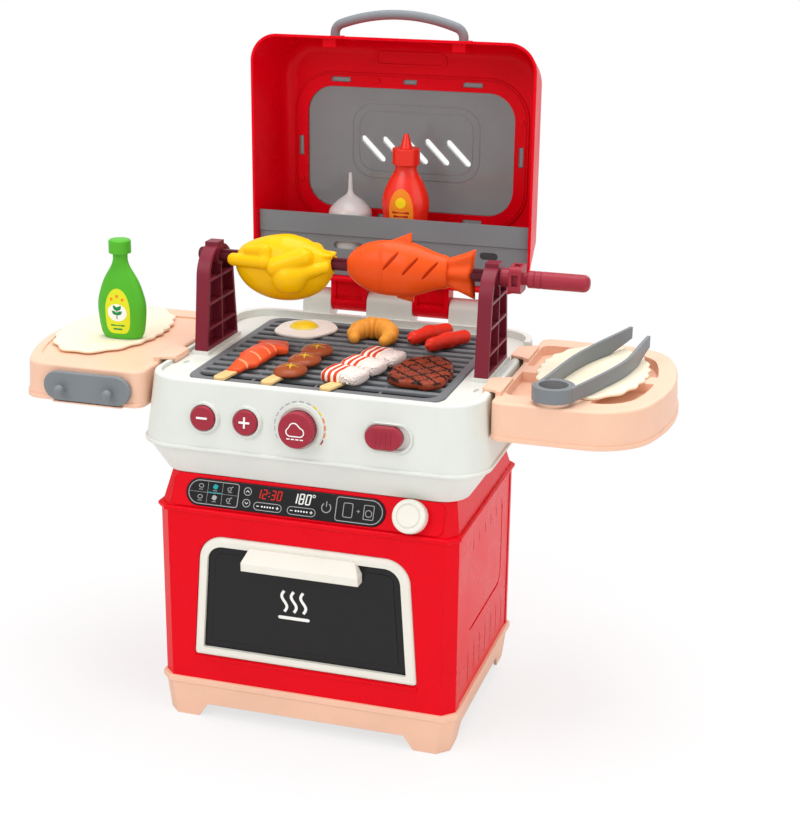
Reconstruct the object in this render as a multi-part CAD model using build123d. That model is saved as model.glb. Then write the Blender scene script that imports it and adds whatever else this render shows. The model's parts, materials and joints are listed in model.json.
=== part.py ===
"""Toy barbecue grill on a kitchen stand: oven, grill tub, rotisserie, lid, side trays and play food.

Lengths are in millimetres. The model is drawn about the middle of the stand, X to the right,
Y to the back and Z up from the floor, and is centred over its own footprint at the end.
"""
import math
import os

from build123d import *

# General
wall = 2.6                      # moulded plastic wall
overrun = 1.0                   # how far a cut runs past the face it opens
seat_gap = 0.3                  # loose pieces lie this far off their seat
snap_gap = 0.4                  # clearance round a fixed insert
running_gap = 0.35              # clearance round a piece that slides or turns
soft_edge = 1.2                 # small fillet on moulded edges
screw_radius = 1.5
screw_head_radius = 2.8
screw_head_height = 1.6
screw_length = 12.0
screw_foot_size = 11.0

# Stand
stand_width = 280.0
stand_depth = 218.0
stand_chamfer = 10.4
base_height = 38.7
base_lip_height = 6.8
base_lip_overhang = 2.6
foot_height = 13.4
foot_length = 31.0
foot_inset = 4.0
foot_taper = 10.0
panel_top = 203.0
front_wrap = 23.0               # how far the front panel runs round the corner
back_wrap = 5.0
panel_recess = 0.8              # the side panels lie this much behind the front panel's sides
slit_width = 1.5
upper_slit_height = 10.0
upper_slit_centre = 179.0
lower_slit_height = 30.0
lower_slit_centre = 63.0
slit_pitch = 21.3
upper_slit_count = 6
lower_slit_count = 7
slit_middle = 9.0
groove_width = 3.0
groove_depth = 1.0
groove_rear = 65.0
groove_front = -51.0
groove_top = 177.0
groove_bottom = 98.0
groove_corner = 14.0
vent_length = 90.0
vent_count = 6
vent_pitch = 9.0

# Fascia
fascia_height = 32.6
fascia_top = panel_top + fascia_height
fascia_top_width = 267.0
fascia_top_depth = 190.0
bead_height = 5.0
bead_overhang = 2.4
fascia_pad_width = 253.0
fascia_pad_height = 29.5
fascia_pad_corner = 7.0
fascia_pad_rise = 1.0
display_width = 187.0
display_height = 24.5
display_centre_x = -19.6
display_centre_z = panel_top + 0.552 * fascia_height
display_rise = 0.9
oven_knob_x = 97.5
oven_knob_z = panel_top + 0.571 * fascia_height
oven_knob_radius = 15.0
oven_knob_height = 11.5
oven_knob_shaft_radius = 3.0
oven_knob_shaft_length = 10.0

# Oven door
door_bottom = 64.0
door_top = 183.0
door_bottom_half = 106.5
door_top_half = 98.0
door_corner = 24.0
door_foot_corner = 3.0
door_frame_width = 8.8
door_thickness = 6.4
door_rise = 2.5                 # the frame stands this far out of the front panel
glass_thickness = 2.4
glass_inset = 7.0
glass_rise = 0.8
door_handle_width = 110.0
door_handle_top_width = 99.0
door_handle_bottom = 157.8
door_handle_edge = 165.5
door_handle_top = 177.0
door_handle_reach = 12.4
door_handle_ridge = 4.0
door_axis_depth = 4.6           # the pins lie this far behind the frame's front and above its foot
door_pin_radius = 1.3
door_pin_length = 9.0
door_pin_bite = 3.0             # length of the pin inside the door frame
sill_rise = 1.4
sill_height = 3.2
oven_half_width = 92.0
oven_bottom = 79.0
oven_top = 168.0
oven_depth = 150.0
liner_wall = 1.8
liner_flange = 7.0

# Grill tub
tub_centre = 20.0               # the tub stands this far behind the stand's middle
tub_seat_gap = 0.4              # the tub's floor lies this far above the fascia
tub_floor = fascia_top + tub_seat_gap
tub_floor_half_width = 141.0
tub_floor_half_depth = 116.0
seam_rise = 28.5                # from the tub's floor
seam_height = tub_floor + seam_rise
seam_half_width = 160.0
seam_half_depth = 129.0
rim_rise = 61.5                 # from the seam
rim_height = seam_height + rim_rise
rim_half_width = 153.0
rim_half_depth = 123.0
tub_corner = 35.0
floor_corner = 24.0
rim_width = 6.0
rim_round = 3.0
deck_drop = 3.5                 # the deck lies this far below the rim
deck_height = rim_height - deck_drop
deck_thickness = 6.5
back_wall_rise = 4.0            # above the rim
back_wall_height = rim_height + back_wall_rise
back_wall_start = 101.0
bead_rise = 1.6
bead_thickness = 3.6
finger_notch_x = 66.0
finger_notch_width = 38.0
finger_notch_depth = 6.0
deck_slot_x = 137.0
deck_slot_y = -42.0
deck_slot_width = 4.0
deck_slot_length = 10.0
deck_slot_depth = 2.0

# Grate and coal pan
grate_half_width = 118.0
grate_half_depth = 110.0
grate_corner = 16.0
grate_frame_width = 8.0
grate_frame_height = 4.4
grate_bar_width = 6.4
grate_bar_height = 3.6
grate_bar_count = 12
grate_rib_width = 2.2
grate_rib_height = 2.0
grate_rib_count = 3
pan_flange_thickness = 1.4
pan_flange_width = 5.0
pan_depth = 30.0

# Controls on the tub's front
control_rise = 29.1             # the controls' middle above the seam
control_height = seam_height + control_rise
minus_x = -92.5
plus_x = -52.5
button_radius = 11.2
button_rise = 6.0
button_travel = 2.0
button_dome = 2.0
bezel_width = 3.0
bezel_rise = 2.4
dial_x = -3.0
dial_radius = 16.0
dial_rise = 13.0
dial_rib_count = 40
dial_rib_depth = 0.5
dial_bezel_gap = 3.2
switch_x = 74.0
switch_width = 33.0
switch_height = 20.5
switch_rise = 7.0
switch_travel = 6.0
switch_rib_count = 4
switch_rib_pitch = 4.4
switch_rib_height = 11.0
switch_rib_width = 1.4
stem_radius = 4.0
board_width = 216.0
board_height = 36.0
board_thickness = 1.6
board_gap = 17.0                # from the outside of the front wall to the board
board_chip = 9.0
board_chip_height = 2.0
standoff_radius = 3.6

# Battery box and speaker inside the tub
battery_radius = 7.1
battery_length = 50.0
battery_count = 3
battery_gap = 0.8
battery_box_x = -60.0
battery_box_y = 40.0
battery_box_wall = 1.8
speaker_radius = 26.0
speaker_height = 14.0
speaker_x = 55.0
speaker_y = 40.0
speaker_magnet_radius = 13.0

# Rotisserie
post_x = 134.2
post_thickness = 12.6
post_centre = 22.0
post_base_half = 37.0
post_top_half = 29.5
post_shoulder_rise = 65.0       # from the rim to where the posts' round heads begin
post_shoulder = rim_height + post_shoulder_rise
post_rib = 2.4
post_rim = 3.6
post_web = 3.0
post_row_shares = (0.30, 0.66)  # heights of the cross ribs, of the straight part
plinth_height = 3.2
plinth_margin = 4.2
plinth_front_margin = 6.0
tenon_depth = 9.0
tenon_share = 0.5
spit_rise = 19.0                # above the shoulder
spit_height = post_shoulder + spit_rise
journal_radius = 5.2
post_boss_radius = 9.0
post_cap_width = 15.0
post_cap_height = 2.6
spit_size = 11.0
spit_rib = 4.4
spit_key_gap = 0.4
end_knob_radius = 6.4
end_knob_length = 7.5
collar_radius = 8.2
collar_length = 9.0
ring_size = 24.0
ring_length = 11.0
ring_slot_share = 0.42
neck_radius = 5.6
neck_length = 4.0
handle_radius = 7.8
handle_length = 56.0
handle_groove = 0.6
socket_depth = 14.0

# Roast chicken and roast fish, drawn along the spit
chicken_left = -117.0
chicken_right = -16.0
chicken_drop = 8.0              # the chicken's middle hangs this far below the spit
chicken_half_height = 30.0
chicken_half_depth = 26.0
chicken_station_shares = (0.0, 0.05, 0.17, 0.36, 0.56, 0.75, 0.9, 1.0)
chicken_size_shares = (0.34, 0.60, 0.87, 1.0, 0.97, 0.78, 0.50, 0.32)
thigh_radius = 14.0
ankle_radius = 5.0
wing_radius = 6.5
fish_left = -4.0
fish_body_right = 97.0
fish_tail_right = 120.5
fish_half_height = 25.5
fish_half_depth = 18.0
fish_station_shares = (0.0, 0.06, 0.16, 0.36, 0.6, 0.82, 1.0)
fish_size_shares = (0.30, 0.55, 0.80, 1.0, 0.98, 0.72, 0.42)
fish_tail_half = 21.5
fish_tail_thickness = 13.0
fish_fin_thickness = 4.0
fish_fin_height = 8.0

# Lid, drawn standing open
hinge_rise = 16.5               # the lid's hinge line above the tub's rim
hinge_z = rim_height + hinge_rise
lid_rim_y = 138.0
lid_lift = 22.0                 # from the hinge line to the lid's lower wall
lid_height = 239.0
lid_bottom = hinge_z + lid_lift
lid_top = lid_bottom + lid_height
lid_width = 284.0
lid_depth = 72.0
lid_corner = 27.0
lid_back_inset = 9.0
lid_back_corner = 40.0
lid_back_round = 16.0
window_half_width = 107.5
window_sill = 61.5              # the window's foot above the lid's lower wall
window_height = 122.0
window_bottom = lid_bottom + window_sill
window_top = window_bottom + window_height
window_corner = 27.0
window_ring_width = 14.0
window_ring_rise = 1.6
pane_thickness = 2.4
pane_slot_count = 5
pane_slot_pitch = 22.2
pane_slot_length = 34.0
pane_slot_width = 6.2
pane_slot_middle_x = 6.0
pane_slot_middle_z = (window_bottom + window_top) / 2
pane_slot_lean = 45.0
tab_long = 19.0
tab_short = 13.0
tab_thick = 4.0
tab_reach = 1.0
grip_recess_width = 74.0
grip_recess_height = 15.0
grip_recess_drop = 26.5         # below the lid's top
grip_recess_z = lid_top - grip_recess_drop
grip_recess_depth = 1.2
carry_half_span = 64.3
carry_y = 165.0
carry_rise = 19.5
carry_radius = 4.6
carry_foot = 9.0
carry_bend = 10.0
clip_block_width = 13.0
clip_block_height = 9.0
pocket_y = 146.5
pocket_shelf_rise = 20.5        # the shelf above the lid's lower wall
pocket_step_rise = 25.5         # the step above the shelf
pocket_top_rise = 19.5          # the pocket's top above the step
pocket_shelf_z = lid_bottom + pocket_shelf_rise
pocket_step_z = pocket_shelf_z + pocket_step_rise
pocket_top = pocket_step_z + pocket_top_rise
pocket_step = 1.2
pocket_shelf_depth = 50.0
pocket_plate = 2.4
pocket_slot_height = 7.5
pocket_slot_shares = ((-0.2095, -0.1004), (0.3169, 0.3803))     # of the lid's width
hinge_y = 153.0
hinge_radius = 11.0
hinge_pin_radius = 2.0
hinge_pin_gap = 0.08
knuckle_inner = 23.5
knuckle_outer = 61.5
knuckle_end = 90.5
knuckle_gap = 0.5
hinge_slot_height = 4.0
hinge_slot_depth = 2.0
hinge_arm_depth = 18.0

# Bottles
red_bottle_x = 8.5
red_bottle_height = 125.0
red_bottle_radius = 23.8
red_bottle_flatness_share = 0.72
red_station_shares = (0.0, 0.03, 0.08, 0.18, 0.30, 0.42, 0.49, 0.56, 0.65, 0.70, 0.765)
red_size_shares = (0.84, 0.89, 0.91, 0.92, 0.94, 1.0, 0.99, 0.885, 0.66, 0.51, 0.50)
red_cap_radius = 13.6
red_cap_share = 0.125           # of the bottle's height
red_nozzle_radius = 6.5
red_tip_radius = 2.2
clear_bottle_x = -50.5
clear_bottle_height = 82.6
clear_bottle_radius = 21.7
clear_station_shares = (0.50, 0.60, 0.686, 0.735, 0.81)
clear_size_shares = (1.0, 0.83, 0.48, 0.22, 0.11)
clear_tip_radius = 1.6
green_bottle_x = -220.0
green_bottle_y = -2.0
green_bottle_height = 94.5
green_bottle_half_width = 24.6
green_bottle_half_depth = 11.5
green_station_shares = (0.0, 0.04, 0.10, 0.22, 0.31, 0.41, 0.52, 0.63, 0.70, 0.76, 0.875)
green_size_shares = (0.76, 0.86, 0.925, 0.985, 1.0, 0.95, 0.82, 0.62, 0.45, 0.34, 0.34)
green_cap_radius = 10.5

# Side trays
tray_inner = 157.6
tray_drop = 1.2                 # the trays' tops lie this far below the tub's rim
tray_height = 33.3
tray_top = rim_height - tray_drop
tray_bottom = tray_top - tray_height
tray_draft = 1.5
tray_flange_rise = 3.6
tray_flange_overhang = 2.8
tray_inner_corner = 10.0
left_tray_outer = 297.5
left_tray_front = -95.0
left_tray_back = 124.0
left_tray_bow = 222.0           # radius of the bowed outer side
left_tray_corner = 19.0
left_recess_depth = 1.5
left_recess_margin = 9.0
left_recess_front_margin = 26.0
right_tray_outer = 300.0
right_tray_front = -77.0
right_tray_back = 139.0
right_tray_bow = 230.0
right_tray_corner = 54.0
right_recess_depth = 9.0
right_recess_margin = 17.0
right_recess_inner_margin = 6.0
right_recess_end_margin = 25.0
right_rib_width = 21.0
tab_offset = 54.0
tab_root = 46.0
tab_tip = 32.0
tab_plate = 2.2
tab_hook_depth = 3.0
tab_hook_thickness = 2.2
hook_plate_x = -209.0
hook_plate_drop = 18.0          # below the tray's top
hook_plate_z = tray_top - hook_plate_drop
hook_plate_width = 85.0
hook_plate_height = 27.0
hook_plate_thickness = 5.0
hook_ledge_thickness = 0.9
peg_half_spacing = 23.6
peg_radius = 3.2
peg_length = 11.0
peg_tip_radius = 4.4
peg_rise = 8.0

# Flatbreads and tongs
bread_thickness = 3.2
bread_wave = 2.2
bread_wave_count = 18
left_bread_x = -243.0
left_bread_y = 28.0
right_bread_x = 225.5
right_bread_y = 38.0
bread_half_width = 50.0
bread_half_depth = 88.0
tongs_x = 209.0
tongs_y = -62.0
tongs_height = 12.5             # of the ring
tongs_hand_height = 14.5
tongs_tip_height = 19.0
tongs_tip_share = 0.80          # of the arm, where its lower edge begins to rise
tongs_tip_lift = 8.0
tongs_ring_radius = 18.4
tongs_wall = 2.6
tongs_arm_length = 190.0
tongs_outer_length = 169.0
tongs_inner_angle = 79.2
tongs_outer_angle = 70.6
tongs_arm_thickness = 3.0
tongs_hand_share = 0.62
tongs_hand_bulge = 14.0
tongs_close = 6.0
tongs_open = 8.0
tongs_window_start = 39.0
tongs_window_end = 87.0

# Play food on the grate
egg_x = -70.0
egg_y = 90.0
egg_half_width = 30.0
egg_half_depth = 34.0
egg_thickness = 3.2
egg_ripple_share = 0.06
egg_ripple_count = 5
yolk_x = -72.0
yolk_y = 93.0
yolk_radius = 14.5
yolk_rise = 6.0
croissant_x = 5.0
croissant_y = 62.0
croissant_half_width = 20.0
croissant_half_depth = 24.0
croissant_tip_radius = 5.0
croissant_radius = 9.8
croissant_sweep = 200.0
croissant_station_count = 9
sausage_radius = 6.8
sausage_length = 58.0
sausage_angle = 61.0
sausage_a_x = 57.0
sausage_a_y = 93.0
sausage_b_x = 79.5
sausage_b_y = 75.0
squid_x = -73.0
squid_y = -21.7
squid_length = 112.0
squid_angle = 87.0
squid_half_width = 14.0
squid_station_shares = (0.0, 0.30, 0.50, 0.68, 0.79, 1.0)
squid_width_shares = (0.45, 0.85, 1.0, 0.90, 1.42, 0.60)
squid_height = 11.0
stick_width = 12.5
stick_length = 42.0
stick_thickness = 3.6
squid_stick_x = -81.0
squid_stick_y = -75.0
squid_stick_angle = 79.0
mushroom_place_shares = ((-0.242, -0.545), (-0.237, -0.227), (-0.237, 0.073))   # of the grate's halves
mushroom_half_width = 14.8
mushroom_half_depth = 18.0
mushroom_height = 10.5
mushroom_stick_x = -37.0
mushroom_stick_y = -74.5
bacon_place_shares = ((0.203, -0.555), (0.258, -0.255), (0.322, 0.045))
bacon_half_width = 17.5
bacon_half_depth = 17.3
bacon_height = 13.0
bacon_angle = -12.0
bacon_stick_x = 16.5
bacon_stick_y = -74.0
steak_x = 82.0
steak_y = -20.0
steak_half_width = 26.5
steak_half_depth = 47.0
steak_height = 8.0
steak_outline_shares = ((-0.92, 0.21), (-0.72, 0.68), (-0.38, 0.85), (-0.04, 1.0), (0.34, 0.89),
                        (0.87, 0.28), (1.0, -0.28), (0.94, -0.79), (0.53, -1.0), (0.23, -0.84),
                        (-0.08, -0.91), (-0.53, -0.87), (-0.85, -0.72), (-0.96, -0.30))


# Small helpers

def cut_corner(width, depth, corner):
    """A rectangle with its four corners cut off."""
    return chamfer(Rectangle(width, depth).vertices(), corner)


def prism(sketch, bottom, top):
    """A level sketch raised from one height to another."""
    return extrude(Pos(0, 0, bottom) * sketch, top - bottom)


def tapered(low, high, bottom, top):
    """A solid whose outline changes from one level sketch to another."""
    return loft([Pos(0, 0, bottom) * low, Pos(0, 0, top) * high])


def upright(sketch, front, back):
    """A sketch in X and Z carried from a front place to a back place along Y."""
    return extrude(Plane(origin=(0, front, 0), x_dir=(1, 0, 0), z_dir=(0, -1, 0)) * sketch, front - back)


def sideways(sketch, left, right):
    """A sketch in Y and Z carried from a left place to a right place along X."""
    return extrude(Plane(origin=(left, 0, 0), x_dir=(0, 1, 0), z_dir=(1, 0, 0)) * sketch, right - left)


def cylinder_x(radius, left, right, y, z):
    """A round bar along X."""
    return sideways(Pos(y, z) * Circle(radius), left, right)


def wall_plane(x, z, low_y, low_z, high_y, high_z):
    """A plane on a leaning front wall: local X is right, local Y up the wall, local Z outward."""
    share = (z - low_z) / (high_z - low_z)
    lean = math.atan2(high_y - low_y, high_z - low_z)
    place = (x, low_y + share * (high_y - low_y), z)
    return Plane(origin=place, x_dir=(1, 0, 0), z_dir=(0, -math.cos(lean), math.sin(lean)))


def disc(plane, radius, low, high):
    """A round solid on a plane between two distances from it."""
    return extrude(plane.offset(low) * Circle(radius), high - low)


def pad(plane, sketch, low, high):
    """A sketched solid on a plane between two distances from it."""
    return extrude(plane.offset(low) * sketch, high - low)


def screw(x, y, head_z, length, up=False):
    """An upright screw; its head is below the thread, or above it where up is set."""
    turn = -1 if up else 1
    head_top = head_z + turn * screw_head_height
    thread_top = head_top + turn * length
    head = Pos(x, y) * prism(Circle(screw_head_radius), min(head_z, head_top), max(head_z, head_top))
    thread = Pos(x, y) * prism(Circle(screw_radius), min(head_top, thread_top), max(head_top, thread_top))
    return head + thread


def ball(radius, x, y, z):
    return Pos(x, y, z) * Sphere(radius)


def limb(start, end, start_radius, end_radius):
    """A tapering limb with round ends."""
    axis = Vector(*end) - Vector(*start)
    plane = Plane(origin=start, z_dir=axis)
    shaft = extrude(plane * Circle(end_radius), axis.length)
    cone = loft([plane * Circle(start_radius), plane.offset(axis.length) * Circle(end_radius)])
    return shaft + cone + ball(start_radius, *start) + ball(end_radius, *end)


def front_pair(shape):
    """A solid and its mirror image across the middle."""
    return shape, mirror(shape, Plane.YZ)


# Stand

def make_base():
    """Peach stand: a flared top tray with a drafted skirt and four feet."""
    foot = cut_corner(stand_width - 2 * foot_inset, stand_depth + overrun, stand_chamfer)
    shoulder = cut_corner(stand_width, stand_depth + base_lip_overhang, stand_chamfer)
    skirt = tapered(foot, shoulder, 0, base_height - base_lip_height)
    lip_sketch = cut_corner(stand_width + 2 * base_lip_overhang, stand_depth + 2 * base_lip_overhang,
                            stand_chamfer)
    lip = prism(lip_sketch, base_height - base_lip_height, base_height)
    lip = fillet(lip.faces().sort_by(Axis.Z)[-1].edges(), soft_edge)
    lip = chamfer(lip.faces().sort_by(Axis.Z)[0].edges(), base_lip_overhang / 2)
    hollow = prism(cut_corner(stand_width - 2 * (foot_inset + wall), stand_depth - 2 * wall, stand_chamfer),
                   -overrun, base_height - wall)
    solid = skirt + lip - hollow
    front_half = stand_width / 2 - foot_inset - foot_length
    side_half = stand_depth / 2 - foot_length
    for half, turn, reach in ((front_half, 0, stand_depth), (side_half, 90, stand_width)):
        points = [(-half, -overrun), (half, -overrun), (half - foot_taper, foot_height),
                  (foot_taper - half, foot_height)]
        gap = make_face(Polyline(*points, close=True))
        solid -= Rot(0, 0, turn) * upright(gap, -reach, reach)
    for x, y in base_screw_places():
        solid -= Pos(x, y) * prism(Circle(screw_radius + snap_gap), base_height - wall - overrun,
                                   base_height + overrun)
    return solid


def base_screw_places():
    """The four screws that hold the front and back panels down on the base."""
    x = stand_width / 2 - 4 * stand_chamfer
    y = stand_depth / 2 - wall / 2 - screw_foot_size / 2
    return [(x, -y), (-x, -y), (x, y), (-x, y)]


def panel_ring(outer_inset):
    """The plan of the stand's walls."""
    outer = cut_corner(stand_width - 2 * outer_inset, stand_depth - 2 * outer_inset, stand_chamfer)
    inner = cut_corner(stand_width - 2 * wall, stand_depth - 2 * wall, stand_chamfer - wall / 2)
    return outer - inner


def door_sketch(inset):
    """The oven door's outline, drawn in by a given distance."""
    slope = (door_bottom_half - door_top_half) / (door_top - door_bottom)
    low = door_bottom + inset
    high = door_top - inset
    low_half = door_bottom_half - slope * inset - inset
    high_half = door_top_half + slope * inset - inset
    outline = make_face(Polyline((-low_half, low), (low_half, low), (high_half, high), (-high_half, high),
                                 close=True))
    corners = outline.vertices().sort_by(Axis.Y)
    outline = fillet(corners[-2:], door_corner - inset)
    corners = outline.vertices().sort_by(Axis.Y)
    foot = max(door_foot_corner - inset, door_foot_corner / 2)
    return fillet(corners[:2], foot)


def panel_foot(x, y):
    """A screw foot inside a panel, standing on the base."""
    block = Rectangle(screw_foot_size, screw_foot_size)
    return Pos(x, y) * prism(block, base_height, base_height + screw_length)


def make_front_panel():
    """Red front that wraps both front corners and frames the oven door."""
    front = -stand_depth / 2
    zone = Pos(0, front + front_wrap / 2) * Rectangle(stand_width + 2 * overrun, front_wrap)
    solid = prism(panel_ring(0) & zone, base_height, panel_top)
    sill_sketch = Pos(0, door_bottom - sill_height / 2 - snap_gap - overrun) * \
        Rectangle(2 * door_bottom_half, sill_height)
    sill = upright(sill_sketch, front - sill_rise, front + wall)
    solid += fillet(sill.edges().filter_by(Axis.X).sort_by(Axis.Y)[:2], sill_rise / 2)
    for x, y in base_screw_places()[:2]:
        solid += panel_foot(x, y)
        solid -= Pos(x, y) * prism(Circle(screw_radius), base_height - overrun, base_height + screw_length)
    solid -= upright(door_sketch(-running_gap), front - door_rise - overrun, front + wall + overrun)
    pin_y, pin_z = door_axis()
    left = door_bottom_half + 2 * running_gap
    right = door_bottom_half + door_pin_length
    boss_back = pin_y + 2 * door_pin_radius
    boss_sketch = Pos((boss_back - stand_depth / 2) / 2, pin_z) * Rectangle(boss_back + stand_depth / 2,
                                                                            4 * door_pin_radius)
    boss = sideways(boss_sketch, left, right)
    boss -= cylinder_x(door_pin_radius, left - overrun, right, pin_y, pin_z)
    for shape in front_pair(boss):
        solid += shape
    for shape in front_pair(cylinder_x(door_pin_radius, left - overrun, right, pin_y, pin_z)):
        solid -= shape
    return solid


def door_axis():
    """Y and Z of the oven door's pins, at the middle of the door's rounded lower front edge."""
    return -stand_depth / 2 - door_rise + door_axis_depth, door_bottom + door_axis_depth


def slit_row(count, height, centre):
    places = [slit_middle + slit_pitch * (index - (count - 1) / 2) for index in range(count)]
    row = Sketch()
    for y in places:
        row += Pos(y, centre) * SlotOverall(height, slit_width, rotation=90)
    return row


def make_side_panel():
    """Red right side panel with two rows of slits and an L-shaped groove."""
    front = -stand_depth / 2 + front_wrap + seat_gap
    back = stand_depth / 2 - stand_chamfer - back_wrap - seat_gap
    outer = stand_width / 2 - panel_recess
    inner = stand_width / 2 - wall
    sheet = Pos((front + back) / 2, (base_height + panel_top) / 2) * Rectangle(back - front,
                                                                               panel_top - base_height)
    solid = sideways(sheet, inner, outer)
    slits = slit_row(upper_slit_count, upper_slit_height, upper_slit_centre)
    slits += slit_row(lower_slit_count, lower_slit_height, lower_slit_centre)
    solid -= sideways(slits, inner - overrun, outer + overrun)
    path = FilletPolyline((groove_rear, groove_top), (groove_rear, groove_bottom),
                          (groove_front, groove_bottom), radius=groove_corner)
    groove = trace(path, groove_width)
    solid -= sideways(groove, outer - groove_depth, outer + overrun)
    return solid


def make_back_panel():
    """Red back that wraps both rear corners, with a block of vent slots."""
    back = stand_depth / 2
    depth = stand_chamfer + back_wrap
    zone = Pos(0, back - depth / 2) * Rectangle(stand_width + 2 * overrun, depth)
    solid = prism(panel_ring(0) & zone, base_height, panel_top)
    for x, y in base_screw_places()[2:]:
        solid += panel_foot(x, y)
        solid -= Pos(x, y) * prism(Circle(screw_radius), base_height - overrun, base_height + screw_length)
    for index in range(vent_count):
        z = panel_top - (panel_top - base_height) / 4 - index * vent_pitch
        solid -= upright(Pos(0, z) * SlotOverall(vent_length, 2 * slit_width), back - wall - overrun,
                         back + overrun)
    return solid


def make_oven_liner():
    """Dark liner box behind the door; its flange bears on the front panel and clears the door's foot."""
    panel_back = -stand_depth / 2 + wall
    door_back = -stand_depth / 2 - door_rise + door_thickness
    flange = upright(door_sketch(-liner_flange), panel_back, door_back + 2 * liner_wall)
    middle = (oven_bottom + oven_top) / 2
    high = oven_top - oven_bottom
    box_sketch = Pos(0, middle) * Rectangle(2 * (oven_half_width + liner_wall), high + 2 * liner_wall)
    box = upright(box_sketch, door_back + liner_wall, door_back + oven_depth)
    cavity_sketch = Pos(0, middle) * RectangleRounded(2 * oven_half_width, high, 2 * liner_wall)
    cavity = upright(cavity_sketch, panel_back - overrun, door_back + oven_depth - liner_wall)
    rebate = upright(door_sketch(-running_gap - snap_gap), panel_back - overrun, door_back + seat_gap)
    solid = flange + box - cavity - rebate
    pin_y, pin_z = door_axis()
    ear = sideways(Pos(pin_y, pin_z) * Rectangle(stand_chamfer, 2 * door_frame_width),
                   door_bottom_half - liner_flange, door_bottom_half + 2 * liner_flange)
    for shape in front_pair(ear):
        solid -= shape
    swing_top = pin_z + door_axis_depth + running_gap
    swing = Pos(0, swing_top - door_frame_width) * Rectangle(3 * door_bottom_half, 2 * door_frame_width)
    return solid - upright(swing, panel_back - overrun, door_back + oven_depth)


def fascia_plane(x, z):
    """The plane of the fascia's leaning front."""
    return wall_plane(x, z, -stand_depth / 2, panel_top, -fascia_top_depth / 2, fascia_top)


def make_fascia():
    """Red collar between the stand and the tub, with a bead, a raised pad and a knob hole."""
    outer = tapered(cut_corner(stand_width, stand_depth, stand_chamfer),
                    cut_corner(fascia_top_width, fascia_top_depth, stand_chamfer), panel_top, fascia_top)
    inner = tapered(cut_corner(stand_width - 2 * wall, stand_depth - 2 * wall, stand_chamfer),
                    cut_corner(fascia_top_width - 2 * wall, fascia_top_depth - 2 * wall, stand_chamfer),
                    panel_top, fascia_top)
    bead = prism(cut_corner(stand_width + 2 * bead_overhang, stand_depth + 2 * bead_overhang, stand_chamfer),
                 panel_top, panel_top + bead_height)
    bead = fillet(bead.faces().sort_by(Axis.Z)[-1].edges(), bead_overhang * 0.9)
    bead = fillet(bead.faces().sort_by(Axis.Z)[0].edges(), bead_overhang * 0.9)
    well = prism(cut_corner(fascia_top_width - 2 * wall, fascia_top_depth - 2 * wall, stand_chamfer),
                 panel_top - overrun, fascia_top + overrun)
    middle = (panel_top + bead_height + fascia_top) / 2
    plane = fascia_plane(0, middle)
    raised = pad(plane, RectangleRounded(fascia_pad_width, fascia_pad_height, fascia_pad_corner), -wall / 2,
                 fascia_pad_rise)
    solid = outer + bead - inner - well + raised
    display = fascia_plane(display_centre_x, display_centre_z)
    solid -= pad(display, SlotOverall(display_width + 2 * snap_gap, display_height + 2 * snap_gap),
                 fascia_pad_rise - display_rise, fascia_pad_rise + overrun)
    knob = fascia_plane(oven_knob_x, oven_knob_z)
    solid -= disc(knob, oven_knob_shaft_radius + running_gap, -2 * wall, fascia_pad_rise + overrun)
    shelf_sketch = cut_corner(fascia_top_width - wall, fascia_top_depth - wall, stand_chamfer) - \
        cut_corner(fascia_top_width - 8 * wall, fascia_top_depth - 8 * wall, stand_chamfer)
    solid += prism(shelf_sketch, fascia_top - wall, fascia_top)
    for x, y in tub_screw_places():
        solid -= Pos(x, y) * prism(Circle(screw_radius + snap_gap), fascia_top - wall - overrun,
                                   fascia_top + overrun)
    return solid


def make_display():
    """Black stadium plate let into the fascia."""
    plane = fascia_plane(display_centre_x, display_centre_z)
    solid = pad(plane, SlotOverall(display_width, display_height), fascia_pad_rise - display_rise,
                fascia_pad_rise + display_rise)
    return fillet(solid.faces().sort_by(Axis.Y)[0].edges(), display_rise / 2)


def make_oven_knob():
    """Cream knob with a stepped face, on a shaft through the fascia."""
    plane = fascia_plane(oven_knob_x, oven_knob_z)
    low = fascia_pad_rise + seat_gap
    high = low + oven_knob_height
    drum = disc(plane, oven_knob_radius, low, high)
    drum = fillet(drum.faces().sort_by(Axis.Y)[0].edges(), 2 * soft_edge)
    groove_radius = oven_knob_radius * 0.72
    groove = disc(plane, groove_radius, high - soft_edge / 2, high + overrun)
    groove -= disc(plane, groove_radius - soft_edge, high - soft_edge, high + 2 * overrun)
    shaft = disc(plane, oven_knob_shaft_radius, low - oven_knob_shaft_length, low)
    return drum - groove + shaft


# Oven door

def make_door_frame():
    """Cream door frame, rounded along its lower edge where the pins sit."""
    front = -stand_depth / 2 - door_rise
    back = front + door_thickness
    solid = upright(door_sketch(0) - door_sketch(door_frame_width), front, back)
    rebate = door_frame_width - 2 * glass_thickness
    solid -= upright(door_sketch(rebate), back - glass_thickness - snap_gap, back + overrun)
    foot = solid.edges().filter_by(Axis.X).group_by(Axis.Z)[0].sort_by(Axis.Y)
    solid = fillet(foot[0], door_axis_depth - running_gap / 2)
    foot = solid.edges().filter_by(Axis.X).group_by(Axis.Z)[0].sort_by(Axis.Y)
    solid = fillet(foot[-1], door_thickness - door_axis_depth - running_gap / 2)
    pin_y, pin_z = door_axis()
    bore = cylinder_x(door_pin_radius + hinge_pin_gap, door_bottom_half - door_pin_bite - overrun,
                      door_bottom_half + overrun, pin_y, pin_z)
    for shape in front_pair(bore):
        solid -= shape
    return solid


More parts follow.
